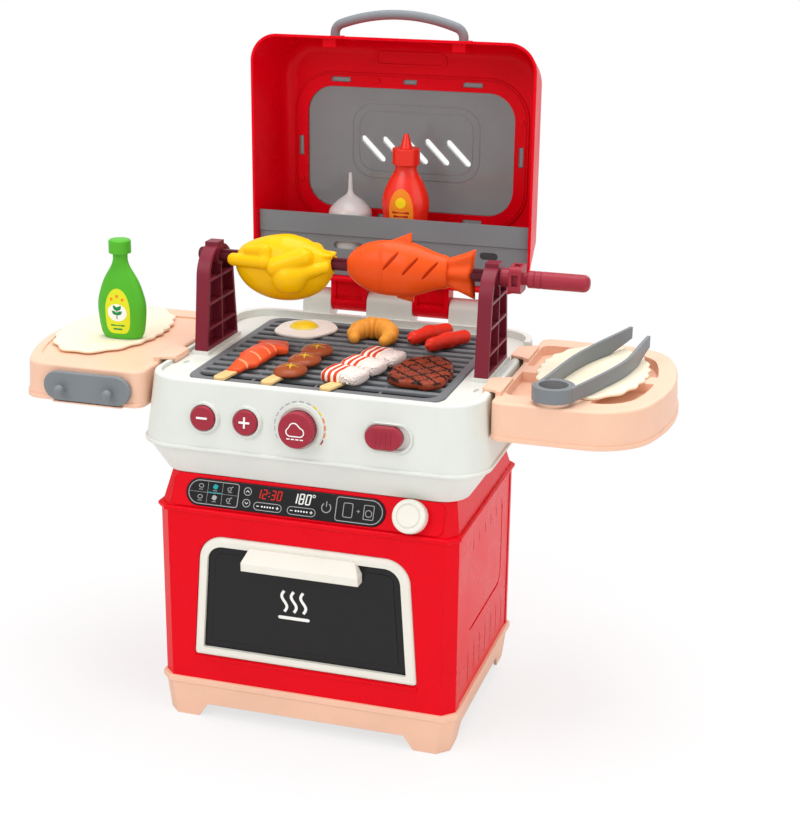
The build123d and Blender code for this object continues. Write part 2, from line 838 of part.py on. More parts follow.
def make_door_glass():
    """Black window of the oven door, with a raised middle field."""
    front = -stand_depth / 2 - door_rise
    back = front + door_thickness
    inset = door_frame_width - 2 * glass_thickness + snap_gap
    plate = upright(door_sketch(inset), back - glass_thickness, back)
    field = upright(door_sketch(door_frame_width + snap_gap), back - glass_thickness - glass_rise, back)
    raised = upright(door_sketch(door_frame_width + glass_inset), back - glass_thickness - 2 * glass_rise,
                     back)
    raised = chamfer(raised.faces().sort_by(Axis.Y)[0].edges(), glass_rise / 2)
    return plate + field + raised


def make_door_handle():
    """Cream bar handle with a slanting top."""
    glass_front = -stand_depth / 2 - door_rise + door_thickness - glass_thickness - 2 * glass_rise
    front = -stand_depth / 2 - door_handle_reach

    def slab(width, near, far, z):
        return Pos(0, (near + far) / 2, z) * Rectangle(width, far - near)

    low = slab(door_handle_width, front, glass_front, door_handle_bottom)
    edge = slab(door_handle_width, front, glass_front, door_handle_edge)
    top = slab(door_handle_top_width, glass_front - door_handle_ridge, glass_front, door_handle_top)
    solid = loft([low, edge]) + loft([edge, top])
    front_edges = solid.edges().filter_by(lambda edge: edge.center().Y < front + overrun)
    solid = fillet(front_edges, soft_edge)
    frame_front = -stand_depth / 2 - door_rise
    return solid - upright(door_sketch(0) - door_sketch(door_frame_width), frame_front, glass_front + overrun)


def make_door_pins():
    pin_y, pin_z = door_axis()
    right = cylinder_x(door_pin_radius, door_bottom_half - door_pin_bite, door_bottom_half + door_pin_length,
                       pin_y, pin_z)
    return Compound(list(front_pair(right)))


# Grill tub

def tub_section(z, inset=0):
    """The tub's level outline at a height above the seam, drawn in by a distance."""
    share = (z - seam_height) / (rim_height - seam_height)
    half_width = seam_half_width + share * (rim_half_width - seam_half_width) - inset
    half_depth = seam_half_depth + share * (rim_half_depth - seam_half_depth) - inset
    return Pos(0, tub_centre, z) * RectangleRounded(2 * half_width, 2 * half_depth, tub_corner - inset)


def floor_section(z, inset=0):
    """The lower shell's level outline at a height below the seam."""
    share = (z - tub_floor) / (seam_height - tub_floor)
    half_width = tub_floor_half_width + share * (seam_half_width - tub_floor_half_width) - inset
    half_depth = tub_floor_half_depth + share * (seam_half_depth - tub_floor_half_depth) - inset
    corner = floor_corner + share * (tub_corner - floor_corner) - inset
    return Pos(0, tub_centre, z) * RectangleRounded(2 * half_width, 2 * half_depth, corner)


def tub_screw_places():
    """The screws that run up through the fascia into the tub's floor."""
    x = fascia_top_width / 2 - 3 * wall
    y = fascia_top_depth / 2 - 6 * stand_chamfer / 2
    return [(x, -y), (-x, -y), (x, y), (-x, y)]


def battery_hole():
    """The opening in the tub's floor under the batteries."""
    width = battery_length + 2 * battery_gap
    depth = battery_count * (2 * battery_radius + battery_gap) + battery_gap
    return width, depth


def make_tub_lower():
    """White lower shell: floor, flared wall, battery opening and screw bosses."""
    solid = loft([floor_section(tub_floor), floor_section(seam_height - bead_thickness / 2)])
    solid = fillet(solid.faces().sort_by(Axis.Z)[0].edges(), 2 * soft_edge)
    solid -= loft([floor_section(tub_floor + wall, wall), floor_section(seam_height + overrun, wall)])
    width, depth = battery_hole()
    solid -= Pos(battery_box_x, battery_box_y) * prism(Rectangle(width, depth), tub_floor - overrun,
                                                       tub_floor + wall + overrun)
    for x, y in tub_screw_places():
        solid += Pos(x, y) * prism(Circle(3 * screw_radius), tub_floor + wall / 2, tub_floor + screw_length)
        solid -= Pos(x, y) * prism(Circle(screw_radius), tub_floor - overrun, tub_floor + screw_length - wall)
    slots = Sketch()
    for index in range(-2, 3):
        slots += Pos(speaker_x + index * 3 * slit_width, speaker_y) * SlotOverall(speaker_radius, slit_width,
                                                                                 rotation=90)
    solid -= prism(slots, tub_floor - overrun, tub_floor + wall + overrun)
    return solid


def tub_front_plane(x, z):
    """The plane of the tub's leaning front wall."""
    return wall_plane(x, z, tub_centre - seam_half_depth, seam_height, tub_centre - rim_half_depth,
                      rim_height)


def hinge_cover(left, right):
    """A white hinge cover: a round-nosed block that grows from the tub's rear wall."""
    nose = cylinder_x(hinge_radius, left, right, hinge_y, hinge_z)
    foot_z = deck_height - deck_thickness
    wall_y = tub_centre + rim_half_depth
    points = [(wall_y - wall, foot_z), (hinge_y + hinge_radius, foot_z + hinge_radius),
              (hinge_y + hinge_radius, hinge_z), (hinge_y - hinge_radius, hinge_z),
              (wall_y - wall, back_wall_height)]
    return nose + sideways(make_face(Polyline(*points, close=True)), left, right)


def control_bezels():
    """Raised rings round the controls, and the raised frame of the slide switch."""
    rings = []
    for x, radius in ((minus_x, button_radius), (plus_x, button_radius), (dial_x, dial_radius)):
        spare = dial_bezel_gap if radius == dial_radius else running_gap
        plane = tub_front_plane(x, control_height)
        ring = disc(plane, radius + spare + bezel_width, -wall / 2, bezel_rise)
        rings.append(fillet(ring.edges().filter_by(GeomType.CIRCLE).sort_by(Axis.Y)[0], soft_edge / 2))
    plane = tub_front_plane(switch_x + switch_travel / 2, control_height)
    frame = pad(plane, SlotOverall(switch_width + switch_travel + 2 * bezel_width,
                                   switch_height + 2 * bezel_width), -wall / 2, bezel_rise / 2)
    rings.append(frame)
    return rings


def control_holes():
    """Wells and through holes of the controls."""
    cuts = []
    for x in (minus_x, plus_x):
        plane = tub_front_plane(x, control_height)
        cuts.append(disc(plane, button_radius + running_gap, -2 * wall, bezel_rise + overrun))
    plane = tub_front_plane(dial_x, control_height)
    cuts.append(disc(plane, dial_radius + running_gap, seat_gap, bezel_rise + overrun))
    cuts.append(disc(plane, stem_radius + running_gap, -2 * wall, overrun))
    plane = tub_front_plane(switch_x + switch_travel / 2, control_height)
    well = SlotOverall(switch_width + switch_travel + 2 * running_gap, switch_height + 2 * running_gap)
    cuts.append(pad(plane, well, -wall / 2, bezel_rise + overrun))
    slot = SlotOverall(2 * stem_radius + switch_travel + 2 * running_gap, 2 * stem_radius + 2 * running_gap)
    cuts.append(pad(plane, slot, -2 * wall, overrun))
    return cuts


def board_places():
    """Places of the four board standoffs, on the front wall."""
    x = board_width / 2 - 2 * standoff_radius
    z = board_height / 2 - standoff_radius
    return [(side * x, control_height + level * z) for side in (-1, 1) for level in (-1, 1)]


def plinth_sketch():
    """The raised seat of the right post, seen from above."""
    width = post_thickness + plinth_margin
    depth = 2 * post_base_half + plinth_front_margin
    return Pos(post_x, post_centre) * Rectangle(width, depth)


def tenon_sketch(gap):
    """The post's tongue, seen from above."""
    return Pos(post_x, post_centre) * Rectangle(post_thickness - 2 * post_rim + 2 * gap,
                                                2 * post_base_half * tenon_share + 2 * gap)


def make_tub_upper():
    """White upper shell with deck, rim, rear wall, post seats, control openings and hinge covers."""
    solid = loft([tub_section(seam_height), tub_section(rim_height)])
    solid = fillet(solid.faces().sort_by(Axis.Z)[-1].edges(), rim_round)
    seam = loft([tub_section(seam_height - bead_thickness / 2, -bead_rise),
                 tub_section(seam_height + bead_thickness / 2, -bead_rise)])
    solid += fillet(seam.edges().group_by(Axis.Z)[-1] + seam.edges().group_by(Axis.Z)[0], bead_rise * 0.8)
    back_outer = loft([tub_section(deck_height - wall), tub_section(back_wall_height)])
    back_zone = Pos(0, (back_wall_start + stand_depth) / 2) * Rectangle(2 * stand_width,
                                                                        stand_depth - back_wall_start)
    back_wall = back_outer & prism(back_zone, deck_height - wall, back_wall_height)
    solid += back_wall
    solid -= loft([tub_section(seam_height - bead_thickness, wall),
                   tub_section(deck_height - deck_thickness, wall)])
    solid -= loft([tub_section(deck_height, rim_width), tub_section(back_wall_height + overrun, rim_width)])
    for shape in front_pair(prism(plinth_sketch(), deck_height - wall / 2, deck_height + plinth_height)):
        solid += shape
    for shape in front_pair(prism(plinth_sketch(), deck_height - deck_thickness - tenon_depth + wall,
                                  deck_height - wall)):
        solid += shape
    for shape in front_pair(prism(tenon_sketch(snap_gap / 2), deck_height - tenon_depth,
                                  deck_height + plinth_height + overrun)):
        solid -= shape
    grate_hole = RectangleRounded(2 * (grate_half_width + snap_gap), 2 * (grate_half_depth + snap_gap),
                                  grate_corner + snap_gap)
    ledge = deck_height - pan_flange_thickness - wall
    solid -= Pos(0, tub_centre) * prism(grate_hole, ledge, deck_height + plinth_height)
    pan_hole = RectangleRounded(2 * (grate_half_width - pan_flange_width),
                                2 * (grate_half_depth - pan_flange_width), grate_corner)
    solid -= Pos(0, tub_centre) * prism(pan_hole, deck_height - 2 * deck_thickness, deck_height)
    notch_y = tub_centre - grate_half_depth
    notch = Pos(finger_notch_x, notch_y) * RectangleRounded(finger_notch_width, finger_notch_depth, wall)
    solid -= prism(notch, deck_height - wall, deck_height + overrun)
    for side in (-1, 1):
        slot = Pos(side * deck_slot_x, deck_slot_y) * RectangleRounded(deck_slot_width, deck_slot_length,
                                                                      deck_slot_width / 3)
        solid -= prism(slot, deck_height - deck_slot_depth, deck_height + overrun)
    for ring in control_bezels():
        solid += ring
    for cut in control_holes():
        solid -= cut
    for x, z in board_places():
        plane = tub_front_plane(x, z)
        solid += disc(plane, standoff_radius, -board_gap, -wall / 2)
    solid += hinge_cover(-knuckle_inner, knuckle_inner)
    for shape in front_pair(hinge_cover(knuckle_outer, knuckle_end)):
        solid += shape
    solid -= cylinder_x(hinge_pin_radius + hinge_pin_gap / 2, -knuckle_end - overrun, knuckle_end + overrun,
                        hinge_y, hinge_z)
    return solid


def make_coal_pan():
    """Dark pan that hangs by its flange under the grate."""
    ledge = deck_height - pan_flange_thickness - wall
    gap = snap_gap + running_gap
    flange = RectangleRounded(2 * (grate_half_width - gap), 2 * (grate_half_depth - gap), grate_corner - gap)
    half_width = grate_half_width - pan_flange_width - gap
    half_depth = grate_half_depth - pan_flange_width - gap
    cup = RectangleRounded(2 * half_width, 2 * half_depth, grate_corner - gap)
    well = RectangleRounded(2 * (half_width - wall), 2 * (half_depth - wall), grate_corner - wall)
    solid = prism(flange, ledge, ledge + pan_flange_thickness) + prism(cup, ledge - pan_depth, ledge)
    solid -= prism(well, ledge - pan_depth + wall, ledge + pan_flange_thickness + overrun)
    return Pos(0, tub_centre) * solid


def grate_seat():
    """The height of the grate's underside."""
    return deck_height - wall


def grate_bar_top():
    """The height on which the food lies."""
    return grate_seat() + grate_frame_height


def make_grate():
    """Grey grill grate: a rounded frame with bars from side to side and thin cross ribs."""
    low = grate_seat()
    high = low + grate_frame_height
    outer = RectangleRounded(2 * grate_half_width, 2 * grate_half_depth, grate_corner)
    inner = RectangleRounded(2 * (grate_half_width - grate_frame_width),
                             2 * (grate_half_depth - grate_frame_width), grate_corner - grate_frame_width / 2)
    frame = prism(outer, low, high) - prism(inner, low - overrun, high + overrun)
    solid = fillet(frame.faces().sort_by(Axis.Z)[-1].edges(), grate_frame_height * 0.3)
    pitch = 2 * (grate_half_depth - grate_frame_width) / (grate_bar_count + 1)
    bar_top = grate_bar_top()
    bar_length = 2 * grate_half_width - grate_frame_width
    for index in range(grate_bar_count):
        y = pitch * (index - (grate_bar_count - 1) / 2)
        bar = Pos(0, y) * prism(Rectangle(bar_length, grate_bar_width), bar_top - grate_bar_height, bar_top)
        top_edges = bar.faces().sort_by(Axis.Z)[-1].edges().filter_by(Axis.X)
        solid += fillet(top_edges, grate_bar_height * 0.45)
    rib_pitch = 2 * grate_half_width / (grate_rib_count + 1)
    for index in range(grate_rib_count):
        x = rib_pitch * (index - (grate_rib_count - 1) / 2)
        solid += Pos(x, 0) * prism(Rectangle(grate_rib_width, 2 * grate_half_depth - grate_frame_width),
                                   low, low + grate_rib_height)
    return Pos(0, tub_centre) * solid


# Controls and electronics

def make_stem(plane, root, travel):
    """A stem that runs back to the chip of its switch, and stays clear of it by its travel."""
    return disc(plane, stem_radius, board_chip_height - board_gap + running_gap + travel, root)


def make_button(x, plus):
    """A domed push button with a raised sign, on a stem."""
    plane = tub_front_plane(x, control_height)
    low = -wall
    drum = disc(plane, button_radius, low, button_rise)
    drum = fillet(drum.faces().sort_by(Axis.Y)[0].edges(), button_dome)
    sign_length = button_radius
    sign = SlotOverall(sign_length, soft_edge)
    if plus:
        sign += SlotOverall(sign_length, soft_edge, rotation=90)
    mark = pad(plane, sign, button_rise - overrun, button_rise + seat_gap)
    return drum + mark + make_stem(plane, low, button_travel)


def make_heat_dial():
    """Burgundy dial with a knurled rim, turning on a shaft."""
    plane = tub_front_plane(dial_x, control_height)
    low = 2 * seat_gap
    drum = disc(plane, dial_radius, low, dial_rise)
    drum = fillet(drum.faces().sort_by(Axis.Y)[0].edges(), button_dome)
    ring = PolarLocations(dial_radius, dial_rib_count)
    grooves = Sketch() + [place * Circle(dial_rib_depth) for place in ring]
    drum -= pad(plane, grooves, low - overrun, dial_rise - button_dome)
    return drum + make_stem(plane, low, 0)


def make_slide_switch():
    """Burgundy stadium cap with four grip ribs, on a stem."""
    plane = tub_front_plane(switch_x, control_height)
    low = -wall / 2 + seat_gap
    cap = pad(plane, SlotOverall(switch_width, switch_height), low, switch_rise)
    cap = fillet(cap.faces().sort_by(Axis.Y)[0].edges(), button_dome)
    for index in range(switch_rib_count):
        offset = switch_rib_pitch * (index - (switch_rib_count - 1) / 2)
        cap += pad(plane, Pos(offset, 0) * SlotOverall(switch_rib_height, switch_rib_width, rotation=90),
                   switch_rise - overrun, switch_rise + soft_edge / 2)
    return cap + make_stem(plane, low, 0)


def make_circuit_board():
    """Board behind the controls, with a chip block behind each of them."""
    plane = tub_front_plane(0, control_height)
    low = -board_gap - board_thickness
    solid = pad(plane, RectangleRounded(board_width, board_height, standoff_radius), low, -board_gap)
    for x in (minus_x, plus_x, dial_x, switch_x + switch_travel / 2):
        solid += pad(plane, Pos(x, 0) * Rectangle(board_chip, board_chip), -board_gap - board_thickness / 2,
                     -board_gap + board_chip_height)
    return solid


def make_speaker():
    """Loudspeaker lying on the tub's floor over its slots."""
    low = tub_floor + wall
    frame = Pos(speaker_x, speaker_y) * prism(Circle(speaker_radius), low, low + speaker_height / 3)
    cone = Pos(speaker_x, speaker_y, low + speaker_height / 3) * Cone(
        speaker_radius - wall, speaker_magnet_radius, speaker_height / 3,
        align=(Align.CENTER, Align.CENTER, Align.MIN))
    magnet = Pos(speaker_x, speaker_y) * prism(Circle(speaker_magnet_radius), low + speaker_height / 2,
                                               low + speaker_height)
    return frame + cone + magnet


def make_battery_box():
    """Box over the opening in the tub's floor."""
    width, depth = battery_hole()
    low = tub_floor + wall
    high = low + 2 * battery_radius + battery_gap + battery_box_wall
    outer = Rectangle(width + 2 * battery_box_wall, depth + 2 * battery_box_wall)
    solid = prism(outer, low, high) - prism(Rectangle(width, depth), low - overrun, high - battery_box_wall)
    return Pos(battery_box_x, battery_box_y) * solid


def make_battery_cover():
    """Flat cover in the floor under the batteries."""
    width, depth = battery_hole()
    sketch = RectangleRounded(width - 2 * snap_gap, depth - 2 * snap_gap, snap_gap * 3)
    return Pos(battery_box_x, battery_box_y) * prism(sketch, tub_floor, tub_floor + wall)


def make_batteries():
    """Three round cells side by side on the cover."""
    cells = []
    pitch = 2 * battery_radius + battery_gap
    z = tub_floor + wall + battery_radius
    for index in range(battery_count):
        y = battery_box_y + pitch * (index - (battery_count - 1) / 2)
        left = battery_box_x - battery_length / 2
        cells.append(cylinder_x(battery_radius, left, left + battery_length, y, z))
    return Compound(cells)


def make_tub_screws():
    return Compound([screw(x, y, fascia_top - wall - screw_head_height, screw_length)
                     for x, y in tub_screw_places()])


def make_base_screws():
    return Compound([screw(x, y, base_height - wall - screw_head_height, screw_length)
                     for x, y in base_screw_places()])


# Rotisserie

def post_profile(inset):
    """The post's side view: a straight foot and a round head, drawn in by a distance."""
    low = deck_height + plinth_height + inset
    base = post_base_half - inset
    head = post_top_half - inset
    points = [(post_centre - head, post_shoulder), (post_centre - base, low), (post_centre + base, low),
              (post_centre + head, post_shoulder)]
    arch = ThreePointArc(points[3], (post_centre, post_shoulder + head), points[0])
    return make_face(Polyline(*points) + arch)


def make_post(side):
    """A ribbed post on a tongue; its pockets face right on both sides of the grill."""
    left = side * post_x - post_thickness / 2
    right = left + post_thickness
    solid = sideways(post_profile(0), left, right)
    pocket = post_profile(post_rim)
    low = deck_height + plinth_height
    straight = post_shoulder - low
    pocket -= Pos(post_centre, low + straight) * Rectangle(post_rib, 2 * straight)
    for share in post_row_shares:
        pocket -= Pos(post_centre, low + share * straight) * Rectangle(2 * post_base_half, post_rib)
    pocket -= Pos(post_centre, post_shoulder) * Rectangle(2 * post_base_half, post_rib)
    pocket -= Pos(post_centre, spit_height) * Circle(post_boss_radius)
    solid -= sideways(pocket, left + post_web, right + overrun)
    top = post_shoulder + post_top_half
    cap = Pos(post_centre, top) * Rectangle(post_cap_width, 2 * post_cap_height)
    solid += sideways(cap, left, right)
    tongue = prism(tenon_sketch(0), low - tenon_depth + seat_gap, low + post_rim)
    solid += tongue if side > 0 else mirror(tongue, Plane.YZ)
    solid -= cylinder_x(journal_radius + running_gap, left - overrun, right + overrun, post_centre,
                        spit_height)
    return solid


def spit_sketch(size, rib):
    """The spit's cross-shaped section."""
    cross = Rectangle(size, rib) + Rectangle(rib, size)
    return Pos(post_centre, spit_height) * cross


def make_spit_rod():
    """Cross-ribbed rod with round journals in the posts and a knob at its left end."""
    half = post_thickness / 2
    left_face = -post_x - half
    right_face = post_x + half
    solid = sideways(spit_sketch(spit_size, spit_rib), -post_x + half + seat_gap, post_x - half - seat_gap)
    solid += cylinder_x(journal_radius, left_face - overrun, -post_x + half + 2 * seat_gap, post_centre,
                        spit_height)
    solid += cylinder_x(journal_radius, post_x - half - 2 * seat_gap,
                        right_face + overrun + collar_length + socket_depth, post_centre, spit_height)
    knob = cylinder_x(end_knob_radius, left_face - overrun - end_knob_length, left_face - overrun,
                      post_centre, spit_height)
    solid += fillet(knob.faces().sort_by(Axis.X)[0].edges(), 2 * soft_edge)
    return solid


def make_spit_handle():
    """Burgundy handle: collar, ring block with side windows, neck and a round-ended grip."""
    start = post_x + post_thickness / 2 + overrun
    collar_end = start + collar_length
    ring_end = collar_end + ring_length
    neck_end = ring_end + neck_length
    solid = cylinder_x(collar_radius, start, collar_end, post_centre, spit_height)
    block = sideways(Pos(post_centre, spit_height) * Rectangle(ring_size, ring_size), collar_end, ring_end)
    block = fillet(block.edges().filter_by(Axis.X), ring_size / 6)
    window = ring_size * ring_slot_share
    for turn in (0, 90):
        block -= Pos((collar_end + ring_end) / 2, post_centre, spit_height) * Rot(turn, 0, 0) * Pos(
            0, 0, ring_size / 2) * Box(ring_length - 2 * wall, window, ring_size / 3)
    solid += block
    solid += cylinder_x(neck_radius, ring_end, neck_end + overrun, post_centre, spit_height)
    grip = cylinder_x(handle_radius, neck_end, neck_end + handle_length, post_centre, spit_height)
    grip = fillet(grip.faces().sort_by(Axis.X)[-1].edges(), handle_radius * 0.75)
    grip = chamfer(grip.faces().sort_by(Axis.X)[0].edges(), soft_edge)
    for index in range(2):
        x = neck_end + handle_length * (index + 1) / 9
        ring = cylinder_x(handle_radius + overrun, x, x + soft_edge, post_centre, spit_height)
        ring -= cylinder_x(handle_radius - handle_groove, x - overrun, x + soft_edge + overrun, post_centre,
                           spit_height)
        grip -= ring
    solid += grip
    solid -= cylinder_x(journal_radius, start - overrun, start + collar_length + socket_depth, post_centre,
                        spit_height)
    return solid


def body_loft(left, right, centre_z, half_height, half_depth, stations, sizes):
    """A round-bodied roast: ellipses along X."""
    sections = []
    for share, size in zip(stations, sizes):
        plane = Plane(origin=(left + share * (right - left), post_centre, centre_z), x_dir=(0, 1, 0),
                      z_dir=(1, 0, 0))
        sections.append(plane * Ellipse(half_depth * size, half_height * size))
    return loft(sections)


def spit_bore(left, right):
    """The cross-shaped passage for the spit."""
    return sideways(spit_sketch(spit_size + 2 * spit_key_gap, spit_rib + 2 * spit_key_gap), left, right)


def make_chicken():
    """Roast chicken: plump body, two thighs and two wing tips, pierced by the spit."""
    middle = spit_height - chicken_drop
    length = chicken_right - chicken_left
    solid = body_loft(chicken_left, chicken_right, middle, chicken_half_height, chicken_half_depth,
                      chicken_station_shares, chicken_size_shares)
    for side in (-1, 1):
        y = post_centre + side * chicken_half_depth * 0.62
        knee = (chicken_left + length * 0.42, y, middle - thigh_radius / 4)
        ankle = (chicken_right - length * 0.08, post_centre + side * chicken_half_depth * 0.5, middle)
        solid += limb(knee, ankle, thigh_radius, ankle_radius)
        shoulder = (chicken_left + length * 0.24, y, middle + chicken_half_height / 3)
        tip = (chicken_left + wing_radius / 3, post_centre + side * chicken_half_depth * 0.55,
               middle + chicken_half_height / 5)
        solid += limb(shoulder, tip, wing_radius, wing_radius * 0.9)
    return solid - spit_bore(chicken_left - 3 * wing_radius, chicken_right + 3 * wing_radius)


def make_fish():
    """Roast fish: smooth body, fan tail and two fins, pierced by the spit."""
    solid = body_loft(fish_left, fish_body_right, spit_height + seat_gap, fish_half_height, fish_half_depth,
                      fish_station_shares, fish_size_shares)
    root = fish_body_right - fish_half_depth / 3
    root_half = fish_half_height * fish_size_shares[-1] * 0.8
    mid = (root + fish_tail_right) / 2
    tail = make_face(Polyline((root, spit_height - root_half),
                              (fish_tail_right - wall, spit_height - fish_tail_half),
                              (fish_tail_right, spit_height),
                              (fish_tail_right - wall, spit_height + fish_tail_half),
                              (root, spit_height + root_half), close=True))
    fan = upright(tail, post_centre - fish_tail_thickness / 2, post_centre + fish_tail_thickness / 2)
    solid += fillet(fan.edges().filter_by(Axis.Y), soft_edge)
    length = fish_body_right - fish_left
    for side, start, end in ((1, 0.40, 0.62), (-1, 0.48, 0.60)):
        base_z = spit_height + side * fish_half_height * 0.8
        tip_z = spit_height + side * (fish_half_height + fish_fin_height)
        near = fish_left + start * length
        far = fish_left + end * length
        outline = make_face(Polyline((near, base_z), (far, base_z), (far, tip_z - side * wall),
                                     (far - fish_fin_height / 2, tip_z), close=True))
        solid += upright(outline, post_centre - fish_fin_thickness / 2, post_centre + fish_fin_thickness / 2)
    return solid - spit_bore(fish_left - overrun, mid + fish_tail_right)


# Lid

def lid_section(y, inset):
    """The lid's upright outline at a depth behind its rim, drawn in by a distance."""
    share = (y - lid_rim_y) / lid_depth
    width = lid_width - 2 * share * lid_back_inset - 2 * inset
    height = lid_top - lid_bottom - 2 * share * lid_back_inset - 2 * inset
    corner = lid_corner + share * (lid_back_corner - lid_corner) - inset
    plane = Plane(origin=(0, y, (lid_top + lid_bottom) / 2), x_dir=(1, 0, 0), z_dir=(0, -1, 0))
    return plane * RectangleRounded(width, height, corner)


def lid_block(inset, front, back, edge):
    solid = loft([lid_section(front, inset), lid_section(back, inset)])
    return fillet(solid.faces().sort_by(Axis.Y)[-1].edges(), edge)


def window_sketch(margin):
    """The window's outline, drawn out by a margin."""
    return Pos(0, (window_bottom + window_top) / 2) * RectangleRounded(
        2 * (window_half_width + margin), window_top - window_bottom + 2 * margin, window_corner + margin)


def window_tabs(gap):
    """Snap tabs of the window, in the ring round it."""
    middle = window_ring_width / 2
    low = window_bottom - middle
    high = window_top + middle
    side = window_half_width + middle
    mid_z = (window_bottom + window_top) / 2
    places = [(-side * 0.63, high, tab_long, tab_thick), (0, high, tab_short, tab_thick),
              (side * 0.56, high, tab_long, tab_thick), (side * 0.58, low, tab_long, tab_thick),
              (-side * 0.2, low, tab_long, tab_thick),
              (-side, mid_z, tab_thick, tab_long), (side, mid_z, tab_thick, tab_long)]
    sketch = Sketch()
    for x, z, width, height in places:
        sketch += Pos(x, z) * Rectangle(width + 2 * gap, height + 2 * gap)
    return sketch


def lid_screw_places():
    """The four screws in the window ring."""
    side = window_half_width + window_ring_width / 2
    high = window_top + window_ring_width / 2
    low = window_bottom - window_ring_width / 2
    return [(-side * 0.3, high), (side, window_top - window_corner), (-side, window_bottom + window_corner),
            (side * 0.28, low)]


def hinge_block():
    """A red hinge knuckle and its arm up to the lid, right of the middle."""
    left = knuckle_inner + knuckle_gap
    right = knuckle_outer - knuckle_gap
    nose = cylinder_x(hinge_radius, left, right, hinge_y, hinge_z)
    arm_place = Pos(hinge_y - hinge_radius + hinge_arm_depth / 2, (hinge_z + lid_bottom + wall) / 2)
    arm_sketch = arm_place * Rectangle(hinge_arm_depth, lid_bottom + wall - hinge_z)
    block = nose + sideways(arm_sketch, left, right)
    recess_sketch = Pos((left + right) / 2, (hinge_z + lid_bottom) / 2 + hinge_slot_height) * Rectangle(
        right - left - 4 * wall, lid_bottom - hinge_z - hinge_slot_height)
    face = hinge_y - hinge_radius
    block -= upright(recess_sketch, face - overrun, face + hinge_slot_depth)
    slot_sketch = Pos((left + right) / 2, hinge_z + hinge_slot_height) * SlotOverall(
        right - left - 3 * wall, hinge_slot_height)
    return block - upright(slot_sketch, face - overrun, face + 2 * hinge_slot_depth)


def make_lid_shell():
    """Red lid: a deep rounded box, open in front, with window, ring, carry slots and hinge knuckles."""
    back = lid_rim_y + lid_depth
    solid = lid_block(0, lid_rim_y, back, lid_back_round)
    solid -= lid_block(wall, lid_rim_y - overrun, back - wall, lid_back_round - wall)
    ring = upright(window_sketch(window_ring_width), back - wall - window_ring_rise, back)
    line = window_sketch(window_ring_width - soft_edge) - window_sketch(window_ring_width - 2 * soft_edge)
    ring -= upright(line, back - wall - window_ring_rise - overrun, back - wall - window_ring_rise / 2)
    solid += ring
    solid -= upright(window_sketch(0), back - 3 * wall, back + overrun)
    solid -= upright(window_tabs(snap_gap), back - 3 * wall, back + overrun)
    grip = Pos(0, grip_recess_z) * RectangleRounded(grip_recess_width, grip_recess_height,
                                                    0.45 * grip_recess_height)
    rim = grip - Pos(0, grip_recess_z) * RectangleRounded(grip_recess_width - 2 * wall,
                                                          grip_recess_height - 2 * wall,
                                                          grip_recess_height / 2.2 - wall)
    solid += upright(rim, back - wall - grip_recess_depth, back - wall / 2)
    for x, z in lid_screw_places():
        solid -= upright(Pos(x, z) * Circle(screw_radius), back - 2 * wall - overrun, back + overrun)
    for shape in front_pair(hinge_block()):
        solid += shape
    for side in (-1, 1):
        block = Pos(side * carry_half_span, lid_top - wall - clip_block_height / 2) * Rectangle(
            clip_block_width, clip_block_height)
        solid += upright(block, carry_y - 2 * carry_foot, carry_y + carry_foot)
        slot = Pos(side * carry_half_span, carry_y) * Circle(carry_radius + snap_gap)
        solid -= prism(slot, lid_top - clip_block_height - 3 * wall, lid_top + overrun)
    solid -= cylinder_x(hinge_pin_radius + hinge_pin_gap, -knuckle_outer, knuckle_outer, hinge_y, hinge_z)
    return solid


def make_window():
    """Grey see-through pane on the lid's back, with slanting slots and tabs through the ring."""
    back = lid_rim_y + lid_depth
    solid = upright(window_sketch(window_ring_width), back, back + pane_thickness)
    solid = fillet(solid.faces().sort_by(Axis.Y)[-1].edges(), pane_thickness / 3)
    solid += upright(window_sketch(-snap_gap), back - wall, back)
    solid += upright(window_tabs(0), back - wall - window_ring_rise - tab_reach, back)
    slots = Sketch()
    for index in range(pane_slot_count):
        x = pane_slot_middle_x + pane_slot_pitch * (index - (pane_slot_count - 1) / 2)
        slots += Pos(x, pane_slot_middle_z) * SlotOverall(pane_slot_length, pane_slot_width,
                                                          rotation=-pane_slot_lean)
    solid -= upright(slots, back - wall - overrun, back + pane_thickness + overrun)
    for x, z in lid_screw_places():
        solid -= upright(Pos(x, z) * Circle(screw_radius), back - overrun, back + pane_thickness + overrun)
    return solid


def make_lid_screws():
    """Screws through the window ring into the pane."""
    back = lid_rim_y + lid_depth
    face = back - wall - window_ring_rise
    screws = []
    for x, z in lid_screw_places():
        head = upright(Pos(x, z) * Circle(screw_head_radius), face - screw_head_height, face)
        thread = upright(Pos(x, z) * Circle(screw_radius - seat_gap / 2), face, back + pane_thickness / 2)
        screws.append(head + thread)
    return Compound(screws)


def carry_bend_point(side, turn):
    """Point of the carry handle's line on one end bend, a turn in radians from where it leaves the lid."""
    across = carry_half_span - carry_bend + carry_bend * math.cos(turn)
    return side * across, carry_y, lid_top + carry_bend * math.sin(turn)


